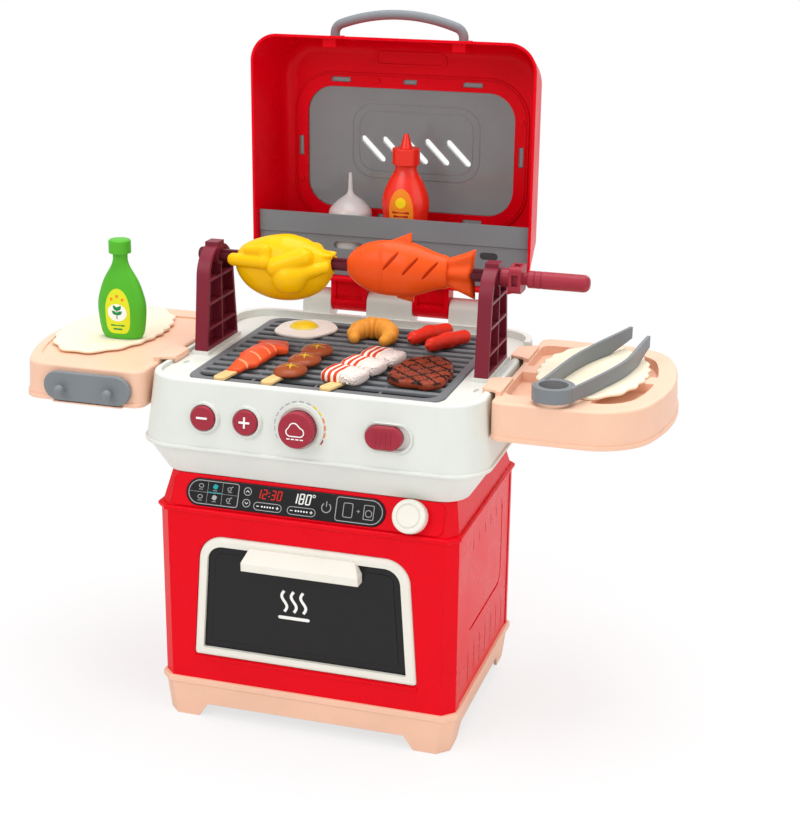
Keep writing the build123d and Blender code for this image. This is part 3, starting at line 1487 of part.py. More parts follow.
def make_carry_handle():
    """Grey bow handle whose feet snap into the lid's top wall: two upright ends, two bends and a long arch."""
    reach = carry_half_span - carry_bend
    arch = (reach ** 2 + carry_rise ** 2 - carry_bend ** 2) / (2 * (carry_rise - carry_bend))
    turn = math.acos(reach / (arch - carry_bend))
    foot_z = lid_top - clip_block_height - wall
    left_foot = (-carry_half_span, carry_y, foot_z)
    right_foot = (carry_half_span, carry_y, foot_z)
    left = [carry_bend_point(-1, share * turn) for share in (0, 0.5, 1)]
    right = [carry_bend_point(1, share * turn) for share in (1, 0.5, 0)]
    top = (0, carry_y, lid_top + carry_rise)
    path = Wire([Line(left_foot, left[0]), ThreePointArc(*left), ThreePointArc(left[2], top, right[0]),
                 ThreePointArc(*right), Line(right[2], right_foot)])
    return sweep(Plane(origin=left_foot, z_dir=(0, 0, 1)) * Circle(carry_radius), path)


def make_pocket():
    """Grey pocket across the lid: a stepped front panel and a shelf for the bottles."""
    inset = lid_back_inset * (pocket_y - lid_rim_y + pocket_plate) / lid_depth
    inner_half = lid_width / 2 - wall - snap_gap - inset
    low = lid_width / 2 - inner_half + lid_bottom
    width = 2 * inner_half
    lower = Pos(0, (low + pocket_step_z) / 2) * Rectangle(width, pocket_step_z - low)
    lower = fillet(lower.vertices().sort_by(Axis.Y)[:2], lid_corner - wall / 2)
    upper = Pos(0, (pocket_step_z + pocket_top) / 2 - pocket_step / 2) * Rectangle(
        width, pocket_top - pocket_step_z + pocket_step)
    solid = upright(lower, pocket_y, pocket_y + pocket_plate)
    solid += upright(upper, pocket_y - pocket_step, pocket_y - pocket_step + pocket_plate)
    middle = (pocket_shelf_z + pocket_step_z) / 2 + pocket_slot_height / 6
    for left_share, right_share in pocket_slot_shares:
        left = left_share * lid_width
        right = right_share * lid_width
        slot = Pos((left + right) / 2, middle) * SlotOverall(right - left, pocket_slot_height)
        solid -= upright(slot, pocket_y - overrun, pocket_y + pocket_plate + overrun)
    shelf = Pos(0, pocket_shelf_z - pocket_plate / 2) * Rectangle(width - lid_corner / 2, pocket_plate)
    solid += upright(shelf, pocket_y + pocket_plate / 2, pocket_y + pocket_shelf_depth)
    back_bar = Pos(0, pocket_shelf_z + pocket_plate) * Rectangle(width - lid_corner / 2, 4 * pocket_plate)
    solid += upright(back_bar, pocket_y + pocket_shelf_depth - pocket_plate, pocket_y + pocket_shelf_depth)
    back = lid_rim_y + lid_depth - wall - snap_gap
    return solid & lid_block(wall + snap_gap, lid_rim_y, back, lid_back_round - wall)


def make_hinge_pin():
    return cylinder_x(hinge_pin_radius, -knuckle_end, knuckle_end, hinge_y, hinge_z)


# Bottles

def flat_bottle(x, y, low, height, half_width, half_depth, stations, sizes):
    """An oval bottle body: ellipses one above the other."""
    sections = []
    for share, size in zip(stations, sizes):
        sections.append(Pos(x, y, low + share * height) * Ellipse(half_width * size, half_depth * size))
    return loft(sections)


def pocket_place(half_depth):
    """Y of a bottle that stands just behind the pocket's front."""
    return pocket_y + pocket_plate + half_depth + running_gap


def red_bottle_y():
    return pocket_place(red_bottle_radius * red_bottle_flatness_share)


def make_red_bottle():
    """Red sauce bottle body standing on the pocket's shelf."""
    low = pocket_shelf_z + seat_gap
    body = flat_bottle(red_bottle_x, red_bottle_y(), low, red_bottle_height, red_bottle_radius,
                       red_bottle_radius * red_bottle_flatness_share, red_station_shares, red_size_shares)
    return body


def make_red_cap():
    """Screw cap with a pointed nozzle."""
    low = pocket_shelf_z + seat_gap + red_bottle_height * red_station_shares[-1]
    top = pocket_shelf_z + seat_gap + red_bottle_height
    cap_top = low + red_bottle_height * red_cap_share
    place = Pos(red_bottle_x, red_bottle_y())
    cap = place * prism(Circle(red_cap_radius), low, cap_top)
    cap = fillet(cap.faces().sort_by(Axis.Z)[-1].edges(), soft_edge)
    nozzle = place * tapered(Circle(red_nozzle_radius), Circle(red_tip_radius), cap_top - overrun, top)
    return cap + nozzle


def make_clear_bottle():
    """Clear squeeze bottle: straight body, a round shoulder and a thin nozzle."""
    low = pocket_shelf_z + seat_gap
    top = low + clear_bottle_height
    radius = clear_bottle_radius
    points = [(size * radius, low + share * clear_bottle_height)
              for share, size in zip(clear_station_shares, clear_size_shares)]
    outline = [(0, low), (radius * 0.9, low), (radius, low + radius / 6), points[0]]
    shoulder = Spline(*points, tangents=((0, 1), (-clear_tip_radius, radius)))
    tip = [points[-1], (clear_tip_radius, top), (0, top), (0, low)]
    profile = make_face(Polyline(*outline) + shoulder + Polyline(*tip))
    solid = revolve(Plane.XZ * profile, Axis.Z)
    return Pos(clear_bottle_x, pocket_place(clear_bottle_radius)) * solid


def bread_top():
    return tray_top + seat_gap + bread_thickness


def make_green_bottle():
    """Green sauce bottle with its cap, standing on the left flatbread."""
    low = bread_top() + seat_gap
    body = flat_bottle(green_bottle_x, green_bottle_y, low, green_bottle_height, green_bottle_half_width,
                       green_bottle_half_depth, green_station_shares, green_size_shares)
    cap_low = low + green_bottle_height * green_station_shares[-1]
    cap = Pos(green_bottle_x, green_bottle_y) * prism(Circle(green_cap_radius), cap_low - overrun,
                                                      low + green_bottle_height)
    return body + fillet(cap.faces().sort_by(Axis.Z)[-1].edges(), 2 * soft_edge)


# Side trays

def left_tray_shape():
    """Outer x, front, back, bow and corner of the left tray, drawn on the right."""
    return left_tray_outer, left_tray_front, left_tray_back, left_tray_bow, left_tray_corner


def right_tray_shape():
    return right_tray_outer, right_tray_front, right_tray_back, right_tray_bow, right_tray_corner


def tray_outline(shape, outset, inner_inset=0, end_inset=0):
    """A tray's outline: square at the tub, bowed at its outer side, with two round corners."""
    outer, front, back, bow, corner = shape
    middle = (front + back) / 2
    width = outer + outset + overrun - tray_inner - inner_inset
    depth = back - front + 2 * outset - 2 * end_inset
    block = Pos(tray_inner + inner_inset + width / 2, middle) * Rectangle(width, depth)
    face = block & (Pos(outer - bow, middle) * Circle(bow + outset))
    face = fillet(face.vertices().sort_by(Axis.X)[-2:], corner + outset)
    return fillet(face.vertices().sort_by(Axis.X)[:2], tray_inner_corner)


def tray_body(shape, recess_depth):
    """A tray's drafted shell with its flared lower flange, hollow from below."""
    flange_top = tray_bottom + tray_flange_rise
    solid = tapered(tray_outline(shape, tray_draft), tray_outline(shape, 0), flange_top, tray_top)
    solid = fillet(solid.faces().sort_by(Axis.Z)[-1].edges(), 2 * soft_edge)
    flange = prism(tray_outline(shape, tray_flange_overhang), tray_bottom, flange_top)
    flange = fillet(flange.faces().sort_by(Axis.Z)[-1].edges(), soft_edge / 2)
    inner = tapered(tray_outline(shape, tray_draft - wall, wall), tray_outline(shape, -wall, wall),
                    tray_bottom - overrun, tray_top - recess_depth - wall)
    return solid + flange - inner


def tray_tabs():
    """Two tapered tabs that hook over the tub's rim."""
    tabs = []
    underside = rim_height + seat_gap
    reach = rim_half_width - rim_width - seat_gap - tab_hook_thickness
    for side in (-1, 1):
        y = tub_centre + side * tab_offset
        root = tray_inner + 2 * wall
        plate = make_face(Polyline((root, y - tab_root / 2), (root, y + tab_root / 2),
                                   (reach, y + tab_tip / 2), (reach, y - tab_tip / 2), close=True))
        top = underside + tab_plate
        tab = prism(plate, underside, top)
        riser = Pos(tray_inner + wall, y) * prism(Rectangle(2 * wall, tab_root), tray_top - 2 * wall, top)
        hook = Pos(reach + tab_hook_thickness / 2, y) * prism(Rectangle(tab_hook_thickness, tab_tip - wall),
                                                            underside - tab_hook_depth, top)
        tabs.append(tab + riser + hook)
    return tabs


def make_left_tray():
    """Peach left tray: a shallow field and a ledge under the hook plate."""
    shape = left_tray_shape()
    solid = tray_body(shape, left_recess_depth)
    field = tray_outline(shape, -left_recess_margin, left_recess_margin,
                         left_recess_front_margin - left_recess_margin)
    solid -= prism(field, tray_top - left_recess_depth, tray_top + overrun)
    ledge = Pos(-hook_plate_x, left_tray_front - hook_plate_thickness / 2) * RectangleRounded(
        hook_plate_width - 2 * peg_rise, hook_plate_thickness + 2 * tray_flange_overhang, tray_draft)
    solid += prism(ledge, tray_bottom, tray_bottom + hook_ledge_thickness)
    for tab in tray_tabs():
        solid += tab
    return mirror(solid, Plane.YZ)


def make_right_tray():
    """Peach right tray: a deep dished field divided into four wells by a cross."""
    shape = right_tray_shape()
    solid = tray_body(shape, right_recess_depth)
    margin = right_recess_margin
    field = tray_outline(shape, -margin, right_recess_inner_margin, right_recess_end_margin - margin)
    low = tray_top - right_recess_depth
    middle = (right_tray_front + right_tray_back) / 2
    half_width = (right_tray_outer - tray_inner) / 2
    half_depth = right_tray_back - middle
    cross = Rectangle(2 * half_width, right_rib_width) + Rectangle(right_rib_width, 2 * half_depth)
    dish = prism(field - Pos(tray_inner + half_width, middle) * cross, low, tray_top + overrun)
    solid -= dish
    for tab in tray_tabs():
        solid += tab
    return solid


def make_hook_plate():
    """Grey plate on the left tray's front, with two upturned pegs."""
    wall_y = left_tray_front - tray_flange_overhang
    front = wall_y - hook_plate_thickness
    outline = Pos(hook_plate_x, hook_plate_z) * SlotOverall(hook_plate_width, hook_plate_height)
    solid = upright(outline, front, wall_y)
    solid = fillet(solid.faces().sort_by(Axis.Y)[0].edges(), soft_edge)
    for side in (-1, 1):
        x = hook_plate_x + side * peg_half_spacing
        root = (x, front + overrun, hook_plate_z - peg_radius)
        tip = (x, front - peg_length + peg_tip_radius, hook_plate_z - peg_radius + peg_rise / 4)
        solid += limb(root, tip, peg_radius, peg_radius) + ball(peg_tip_radius, *tip)
    return solid


def make_bread(x, y):
    """A thin oval flatbread with a wavy edge, lying on a tray's rim."""
    points = []
    steps = 4 * bread_wave_count
    for index in range(steps):
        angle = 2 * math.pi * index / steps
        wave = bread_wave * math.cos(bread_wave_count * angle)
        points.append((x + (bread_half_width - bread_wave + wave) * math.cos(angle),
                       y + (bread_half_depth - bread_wave + wave) * math.sin(angle)))
    outline = make_face(Spline(*points, periodic=True))
    return prism(outline, tray_top + seat_gap, bread_top())


# Tongs

def tongs_floor():
    return bread_top() + seat_gap


def tongs_arm(radius, length, angle, side):
    """A ring with one blade standing on edge, which leaves the ring at its side and grows to its tip."""
    low = tongs_floor()
    high = low + tongs_height
    top = low + tongs_tip_height
    ring = prism(Circle(radius) - Circle(radius - tongs_wall), low, high)
    start = side * (radius - tongs_wall / 2)
    hand = length * tongs_hand_share
    past = length + 2 * wall
    path = Spline((0, start), (hand, side * tongs_hand_bulge), (length, 0), tangents=((1, 0), (1, -side / 6)))
    blade = prism(trace(path, tongs_arm_thickness), low, top)
    edge = Polyline((-2 * radius, high), (radius, high), (hand, low + tongs_hand_height), (length, top),
                    (length, top + overrun), (-2 * radius, top + overrun), close=True)
    blade -= upright(make_face(edge), -length, length)
    rise = length * tongs_tip_share
    foot = Polyline((rise, low), (length, low + tongs_tip_lift), (past, low + tongs_tip_lift),
                    (past, low - overrun), (rise, low - overrun), close=True)
    blade -= upright(make_face(foot), -length, length)
    return Pos(tongs_x, tongs_y) * Rot(0, 0, angle) * (ring + blade)


def make_tongs_outer():
    """Outer tongs arm: its ring has a window, open at the top, that the inner arm swings in."""
    solid = tongs_arm(tongs_ring_radius, tongs_outer_length, tongs_outer_angle, -1)
    low = tongs_floor() + tongs_wall
    span = tongs_inner_angle - tongs_outer_angle
    reach = 2 * tongs_ring_radius
    from_angle = math.radians(span + tongs_window_start - tongs_close)
    to_angle = math.radians(span + tongs_window_end + tongs_open)
    window = make_face(Polyline((0, 0), (reach * math.cos(from_angle), reach * math.sin(from_angle)),
                                (reach * math.cos(to_angle), reach * math.sin(to_angle)), close=True))
    cut = prism(window, low, low + tongs_height + overrun)
    cut = Pos(tongs_x, tongs_y) * Rot(0, 0, tongs_outer_angle) * cut
    return solid - cut


def make_tongs_inner():
    """Inner tongs arm, whose ring turns inside the outer one; its blade steps over the window's sill."""
    radius = tongs_ring_radius - tongs_wall - running_gap
    solid = tongs_arm(radius, tongs_arm_length, tongs_inner_angle, 1)
    low = tongs_floor()
    sill = Circle(tongs_ring_radius + running_gap) - Circle(radius)
    return solid - Pos(tongs_x, tongs_y) * prism(sill, low - overrun, low + tongs_wall + running_gap)


# Play food

def food_floor():
    return grate_bar_top() + seat_gap


def make_egg_white():
    """Fried egg white: a thin uneven round with a dimple for the yolk."""
    points = []
    steps = 4 * egg_ripple_count
    for index in range(steps):
        angle = 2 * math.pi * index / steps
        ripple = 1 + egg_ripple_share * math.cos(egg_ripple_count * angle)
        points.append((egg_x + egg_half_width * ripple * math.cos(angle),
                       egg_y + egg_half_depth * ripple * math.sin(angle)))
    low = food_floor()
    solid = prism(make_face(Spline(*points, periodic=True)), low, low + egg_thickness)
    return fillet(solid.faces().sort_by(Axis.Z)[-1].edges(), egg_thickness / 3)


def make_egg_yolk():
    """Yolk: a low dome on the white."""
    low = food_floor() + egg_thickness
    ball_radius = (yolk_radius ** 2 + yolk_rise ** 2) / (2 * yolk_rise)
    dome = ball(ball_radius, yolk_x, yolk_y, low + yolk_rise - ball_radius)
    return dome & prism(Pos(yolk_x, yolk_y) * Circle(2 * yolk_radius), low, low + 2 * yolk_rise)


def make_croissant():
    """Croissant: round sections that swell to the middle of a bow."""
    low = food_floor()
    sections = []
    for index in range(croissant_station_count):
        share = index / (croissant_station_count - 1)
        angle = math.radians(90 + croissant_sweep * (0.5 - share))
        radius = croissant_tip_radius + (croissant_radius - croissant_tip_radius) * math.sin(math.pi * share)
        place = (croissant_x + croissant_half_width * math.cos(angle),
                 croissant_y + croissant_half_depth * math.sin(angle), low + radius)
        heading = (croissant_half_width * math.sin(angle), -croissant_half_depth * math.cos(angle), 0)
        sections.append(Plane(origin=place, x_dir=(0, 0, 1), z_dir=heading) * Circle(radius))
    body = loft(sections)
    ground = Pos(croissant_x, croissant_y) * prism(Rectangle(stand_width, stand_width), low,
                                                   low + 3 * croissant_radius)
    return body & ground


def sausage(x, y):
    """One sausage, flat where it lies."""
    low = food_floor()
    half = (sausage_length / 2 - sausage_radius)
    dx = half * math.cos(math.radians(sausage_angle))
    dy = half * math.sin(math.radians(sausage_angle))
    z = low + sausage_radius * 0.94
    body = limb((x - dx, y - dy, z), (x + dx, y + dy, z), sausage_radius, sausage_radius)
    ground = Pos(x, y) * prism(Rectangle(2 * sausage_length, 2 * sausage_length), low,
                               low + 3 * sausage_radius)
    return body & ground


def make_sausages():
    return Compound([sausage(sausage_a_x, sausage_a_y), sausage(sausage_b_x, sausage_b_y)])


def stick(x, y, angle):
    """A flat wooden-look stick with a round handle end."""
    low = food_floor()
    solid = prism(SlotOverall(stick_length, stick_width), low, low + stick_thickness)
    solid = fillet(solid.faces().sort_by(Axis.Z)[-1].edges(), soft_edge)
    return Pos(x, y) * Rot(0, 0, angle) * solid


def make_squid():
    """Squid skewer: a rippled body with a spade head, and its stick."""
    low = food_floor()
    sections = []
    for share, size in zip(squid_station_shares, squid_width_shares):
        x = squid_length * (share - 0.5)
        half = squid_half_width * size
        height = squid_height * min(1, size)
        plane = Plane(origin=(x, 0, low + height / 2), x_dir=(0, 1, 0), z_dir=(1, 0, 0))
        sections.append(plane * RectangleRounded(2 * half, height, height * 0.4))
    body = Pos(squid_x, squid_y) * Rot(0, 0, squid_angle) * loft(sections, ruled=True)
    return Compound([body, stick(squid_stick_x, squid_stick_y, squid_stick_angle) - body])


def make_mushrooms():
    """Mushroom skewer: three overlapping caps and a stick."""
    low = food_floor()
    caps = Part()
    for across, along in mushroom_place_shares:
        dome = tapered(Ellipse(mushroom_half_width * 0.88, mushroom_half_depth * 0.88),
                       Ellipse(mushroom_half_width, mushroom_half_depth), low, low + mushroom_height * 0.35)
        top = tapered(Ellipse(mushroom_half_width, mushroom_half_depth),
                      Ellipse(mushroom_half_width * 0.55, mushroom_half_depth * 0.55),
                      low + mushroom_height * 0.35, low + mushroom_height)
        caps += Pos(across * grate_half_width, along * grate_half_depth) * (dome + top)
    return Compound([*caps.solids(), stick(mushroom_stick_x, mushroom_stick_y, squid_stick_angle) - caps])


def make_bacon():
    """Bacon roll skewer: three rolls side by side and a stick."""
    low = food_floor()
    rolls = Part()
    for across, along in bacon_place_shares:
        roll = prism(RectangleRounded(2 * bacon_half_width, 2 * bacon_half_depth, bacon_half_depth / 3), low,
                     low + bacon_height)
        roll = fillet(roll.faces().sort_by(Axis.Z)[-1].edges(), bacon_height / 4)
        place = Pos(across * grate_half_width, along * grate_half_depth)
        rolls += place * Rot(0, 0, bacon_angle) * roll
    return Compound([*rolls.solids(), stick(bacon_stick_x, bacon_stick_y, squid_stick_angle) - rolls])


def make_steak():
    """Steak: a thick notched slab."""
    low = food_floor()
    points = [(steak_half_width * across, steak_half_depth * along) for across, along in steak_outline_shares]
    outline = make_face(Spline(*points, periodic=True))
    solid = prism(outline, low, low + steak_height)
    solid = fillet(solid.faces().sort_by(Axis.Z)[-1].edges(), steak_height / 4)
    return Pos(steak_x, steak_y) * solid


def all_pieces():
    """Every piece by name."""
    right_side = make_side_panel()
    pieces = {
        "base": make_base(),
        "base_screws": make_base_screws(),
        "front_panel": make_front_panel(),
        "right_side_panel": right_side,
        "left_side_panel": mirror(right_side, Plane.YZ),
        "back_panel": make_back_panel(),
        "oven_liner": make_oven_liner(),
        "fascia": make_fascia(),
        "display_plate": make_display(),
        "oven_knob": make_oven_knob(),
        "door_frame": make_door_frame(),
        "door_glass": make_door_glass(),
        "door_handle": make_door_handle(),
        "door_pins": make_door_pins(),
        "tub_lower_shell": make_tub_lower(),
        "tub_upper_shell": make_tub_upper(),
        "tub_screws": make_tub_screws(),
        "coal_pan": make_coal_pan(),
        "grill_grate": make_grate(),
        "minus_button": make_button(minus_x, False),
        "plus_button": make_button(plus_x, True),
        "heat_dial": make_heat_dial(),
        "slide_switch": make_slide_switch(),
        "circuit_board": make_circuit_board(),
        "speaker": make_speaker(),
        "battery_box": make_battery_box(),
        "battery_cover": make_battery_cover(),
        "batteries": make_batteries(),
        "left_post": make_post(-1),
        "right_post": make_post(1),
        "spit_rod": make_spit_rod(),
        "spit_handle": make_spit_handle(),
        "roast_chicken": make_chicken(),
        "roast_fish": make_fish(),
        "lid_shell": make_lid_shell(),
        "lid_window": make_window(),
        "lid_screws": make_lid_screws(),
        "carry_handle": make_carry_handle(),
        "lid_pocket": make_pocket(),
        "hinge_pin": make_hinge_pin(),
        "red_sauce_bottle": make_red_bottle(),
        "red_bottle_cap": make_red_cap(),
        "clear_sauce_bottle": make_clear_bottle(),
        "left_tray": make_left_tray(),
        "hook_plate": make_hook_plate(),
        "left_flatbread": make_bread(left_bread_x, left_bread_y),
        "green_sauce_bottle": make_green_bottle(),
        "right_tray": make_right_tray(),
        "right_flatbread": make_bread(right_bread_x, right_bread_y),
        "tongs_outer_arm": make_tongs_outer(),
        "tongs_inner_arm": make_tongs_inner(),
        "egg_white": make_egg_white(),
        "egg_yolk": make_egg_yolk(),
        "croissant": make_croissant(),
        "sausages": make_sausages(),
        "squid_skewer": make_squid(),
        "mushroom_skewer": make_mushrooms(),
        "bacon_skewer": make_bacon(),
        "steak": make_steak(),
    }
    return pieces


def main():
    os.makedirs("parts", exist_ok=True)
    pieces = all_pieces()
    box = Compound([solid for shape in pieces.values() for solid in shape.solids()]).bounding_box()
    centre = Vector((box.min.X + box.max.X) / 2, (box.min.Y + box.max.Y) / 2, 0)
    print(f"shift {centre.X:.4f} {centre.Y:.4f}")
    for name, shape in pieces.items():
        export_step(Pos(-centre) * shape, f"parts/{name}.step")
    size = box.size
    print(f"{len(pieces)} pieces, {size.X:.1f} x {size.Y:.1f} x {size.Z:.1f} mm")


main()
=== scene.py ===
# %% [markdown]
# # A toy barbecue grill, dressed for the camera
# The real object is a child's grill that stands on a play oven. Almost all of it is moulded ABS,
# the hard glossy plastic of building bricks, and its play food is moulded in softer, satin plastic.
# The rigid shells come ready-made, at their real size. This lesson gives them their finishes, and
# models what a ruler can't draw well: the play food and the printed marks.

# %% Load the frame
import json
import math

import bmesh
import bpy
import numpy as np
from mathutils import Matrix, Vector, noise
from mathutils.bvhtree import BVHTree


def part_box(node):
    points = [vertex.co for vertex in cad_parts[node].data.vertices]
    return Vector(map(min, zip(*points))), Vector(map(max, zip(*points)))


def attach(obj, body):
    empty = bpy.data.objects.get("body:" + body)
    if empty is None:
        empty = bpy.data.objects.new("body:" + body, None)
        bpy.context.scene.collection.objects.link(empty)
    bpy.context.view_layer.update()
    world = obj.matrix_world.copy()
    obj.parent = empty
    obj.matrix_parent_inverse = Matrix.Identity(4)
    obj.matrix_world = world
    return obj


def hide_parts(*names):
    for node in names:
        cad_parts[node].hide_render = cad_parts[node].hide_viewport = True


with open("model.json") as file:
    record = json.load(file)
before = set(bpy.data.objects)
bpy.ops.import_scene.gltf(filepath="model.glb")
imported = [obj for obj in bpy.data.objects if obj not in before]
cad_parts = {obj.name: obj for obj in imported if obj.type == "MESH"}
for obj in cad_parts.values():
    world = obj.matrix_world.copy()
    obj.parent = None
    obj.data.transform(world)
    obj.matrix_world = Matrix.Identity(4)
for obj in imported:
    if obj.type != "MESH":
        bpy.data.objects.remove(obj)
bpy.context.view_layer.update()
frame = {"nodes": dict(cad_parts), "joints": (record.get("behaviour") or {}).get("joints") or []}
mm = 0.001
nodes = frame["nodes"]
joints = {joint["name"]: joint for joint in frame["joints"]}

# %% [markdown]
# ## Reading places from the frame
# Every modelled piece sits where the frame says. One helper gives a piece's box in millimetres, and
# another turns a hinge or slide into a drawing surface: the axis of a knob is square to the wall
# that the knob sits on, so it also tells how that wall leans.


# %% Boxes and drawing surfaces
def box_mm(node):
    """Lowest corner, highest corner and middle of a piece, in millimetres."""
    low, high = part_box(node)
    low, high = np.array(low) / mm, np.array(high) / mm
    return low, high, (low + high) / 2


def flat_surface(origin, out, up_hint=(0, 0, 1)):
    """A flat drawing surface: a runs right, b runs up, and lift stands off it."""
    out = np.array(out, float) / np.linalg.norm(out)
    right = np.cross(np.array(up_hint, float), out)
    right /= np.linalg.norm(right)
    up = np.cross(out, right)
    origin = np.array(origin, float)

    def surface(a, b, lift):
        return origin + right * a + up * b + out * lift

    return surface


def cast_surface(node, origin, out):
    """A drawing surface that falls onto a piece's own skin, as print or a wrapped label does."""
    mesh = nodes[node].data
    skin = BVHTree.FromPolygons([v.co / mm for v in mesh.vertices],
                                [tuple(p.vertices) for p in mesh.polygons])
    sheet = flat_surface(origin, out)
    inward = -Vector(out).normalized()
    start_height = 60.0

    def surface(a, b, lift):
        spot, slope, _, _ = skin.ray_cast(Vector(sheet(a, b, start_height)), inward)
        return np.array(spot + slope * lift) if spot else sheet(a, b, lift)

    return surface


def mesh_corners(node):
    """All corners of a piece from the frame, in millimetres."""
    return np.array([v.co for v in nodes[node].data.vertices]) / mm


spit_line = np.array((0, *np.array(joints["spit_spin"]["pos_m"][1:]) / mm))
print("the spit turns about", spit_line.round(1))

# %% [markdown]
# ## Making meshes
# Three kinds of mesh cover everything here. A loft joins rings of points, as for a bottle. A wrap
# walks rays in from outside until they meet a shape that is given by a distance formula: it is how
# a plump body with folded limbs gets soft, filled creases. Ink is thin raised print: strokes and
# filled outlines laid on a surface.


# %% Turning points into a piece
def piece(name, points, faces, material, body, slot, replaced=(), paint=None, crease=42.0):
    """A mesh from points in millimetres, with its finish, riding on a body."""
    mesh = bpy.data.meshes.new(name)
    mesh.from_pydata([tuple(float(c) * mm for c in point) for point in points], [], faces)
    form = bmesh.new()
    form.from_mesh(mesh)
    bmesh.ops.recalc_face_normals(form, faces=form.faces)
    form.to_mesh(mesh)
    form.free()
    mesh.shade_smooth()
    mesh.set_sharp_from_angle(angle=math.radians(crease))
    if paint is not None:
        mask = mesh.attributes.new("paint", "FLOAT", "POINT")
        mask.data.foreach_set("value", np.asarray(paint, np.float32).ravel())
    made = bpy.data.objects.new(name, mesh)
    bpy.context.scene.collection.objects.link(made)
    made.data.materials.append(material)
    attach(made, body)
    if replaced:
        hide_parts(*replaced)
    return made


def net_faces(rows, columns, capped=True):
    """Faces of a net of rings, closed at both ends."""
    faces = []
    for row in range(rows - 1):
        for column in range(columns):
            right = (column + 1) % columns
            faces.append((row * columns + column, row * columns + right,
                          (row + 1) * columns + right, (row + 1) * columns + column))
    if capped:
        faces.append(tuple(range(columns)))
        faces.append(tuple((rows - 1) * columns + column for column in range(columns)))
    return faces


def net_piece(name, rings, *details, **more):
    """A closed piece from an array of rings."""
    rings = np.asarray(rings, float)
    rows, columns = rings.shape[:2]
    return piece(name, rings.reshape(-1, 3), net_faces(rows, columns), *details, **more)


# %% Distance formulas
def blob(points, middle, radii):
    """Distance to an ellipsoid, near enough for walking rays in."""
    local = points - np.array(middle, float)
    radii = np.array(radii, float)
    near = np.linalg.norm(local / radii, axis=-1)
    far = np.linalg.norm(local / radii ** 2, axis=-1)
    return near * (near - 1) / np.maximum(far, 1e-6)


def limb(points, start, end, start_radius, end_radius):
    """Distance to a tapering limb with round ends."""
    start, end = np.array(start, float), np.array(end, float)
    span = end - start
    share = np.clip(((points - start) @ span) / (span @ span), 0, 1)
    radius = start_radius + (end_radius - start_radius) * share
    return np.linalg.norm(points - start - share[..., None] * span, axis=-1) - radius


def join(first, second, soft):
    """Union of two shapes with a fillet of about that size."""
    blend = np.clip(0.5 + 0.5 * (second - first) / soft, 0, 1)
    return second * (1 - blend) + first * blend - soft * blend * (1 - blend)


def cut(first, second, soft):
    """The first shape without the second."""
    return -join(-first, second, soft)


# %% Wrapping a net round a shape
def full_turn(columns):
    """Even angles round a circle."""
    return np.arange(columns) * 2 * math.pi / columns


def capped_steps(rows, cap_rows):
    """Shares along a line with the rays' tilt there: a fan at each end and square rays between."""
    steepest = math.pi / 2 - 0.02
    steps = [(0.0, -math.pi / 2 * (1 - index / cap_rows)) for index in range(cap_rows)]
    steps += [(index / rows, 0.0) for index in range(rows + 1)]
    steps += [(1.0, math.pi / 2 * (index + 1) / cap_rows) for index in range(cap_rows)]
    return [(share, max(min(tilt, steepest), -steepest)) for share, tilt in steps]


def bean_rays(start, end, rows, cap_rows, columns, side=(0, 1, 0)):
    """Rays that leave a straight line on all sides and at both ends."""
    start, end = np.array(start, float), np.array(end, float)
    axis = (end - start) / np.linalg.norm(end - start)
    side = np.array(side, float)
    other = np.cross(axis, side)
    angles = full_turn(columns)
    spokes = np.cos(angles)[:, None] * side + np.sin(angles)[:, None] * other
    origins, rays = [], []
    for share, tilt in capped_steps(rows, cap_rows):
        origins.append(np.repeat((start + share * (end - start))[None], columns, 0))
        rays.append(math.cos(tilt) * spokes + math.sin(tilt) * axis)
    return np.array(origins), np.array(rays)


def wrap(distance, origins, rays, reach, rounds=70):
    """Walks every ray in from outside until it meets the shape, by a careful share of the gap each time."""
    stride = 0.8
    travel = np.full(origins.shape[:-1], float(reach))
    for _ in range(rounds):
        gap = distance(origins + rays * travel[..., None])
        travel = np.maximum(travel - stride * gap, 0.0)
    return origins + rays * travel[..., None]


# %% Ink: strokes and filled outlines on a surface
ink_thickness = 0.35
ink_sink = 0.25


def stroke(ink, surface, line, width, closed=False, lift=0.0):
    """A raised line of one width along points of a drawing surface; lift makes it thicker."""
    points, faces = ink
    line = [np.array(p, float) for p in line]
    count = len(line)
    first = len(points)
    for index, place in enumerate(line):
        before = line[(index - 1) % count] if closed or index else place
        after = line[(index + 1) % count] if closed or index < count - 1 else place
        heading = (after - before) / max(np.linalg.norm(after - before), 1e-9)
        across = np.array((-heading[1], heading[0])) * width / 2
        top = lift + ink_thickness
        for corner, high in ((place + across, top), (place - across, top),
                             (place - across, -ink_sink), (place + across, -ink_sink)):
            points.append(surface(corner[0], corner[1], high))
    last = count if closed else count - 1
    for index in range(last):
        here, there = first + 4 * index, first + 4 * ((index + 1) % count)
        for corner in range(4):
            turned = (corner + 1) % 4
            faces.append((here + corner, here + turned, there + turned, there + corner))
    if not closed:
        faces.append((first, first + 1, first + 2, first + 3))
        end = first + 4 * (count - 1)
        faces.append((end, end + 1, end + 2, end + 3))


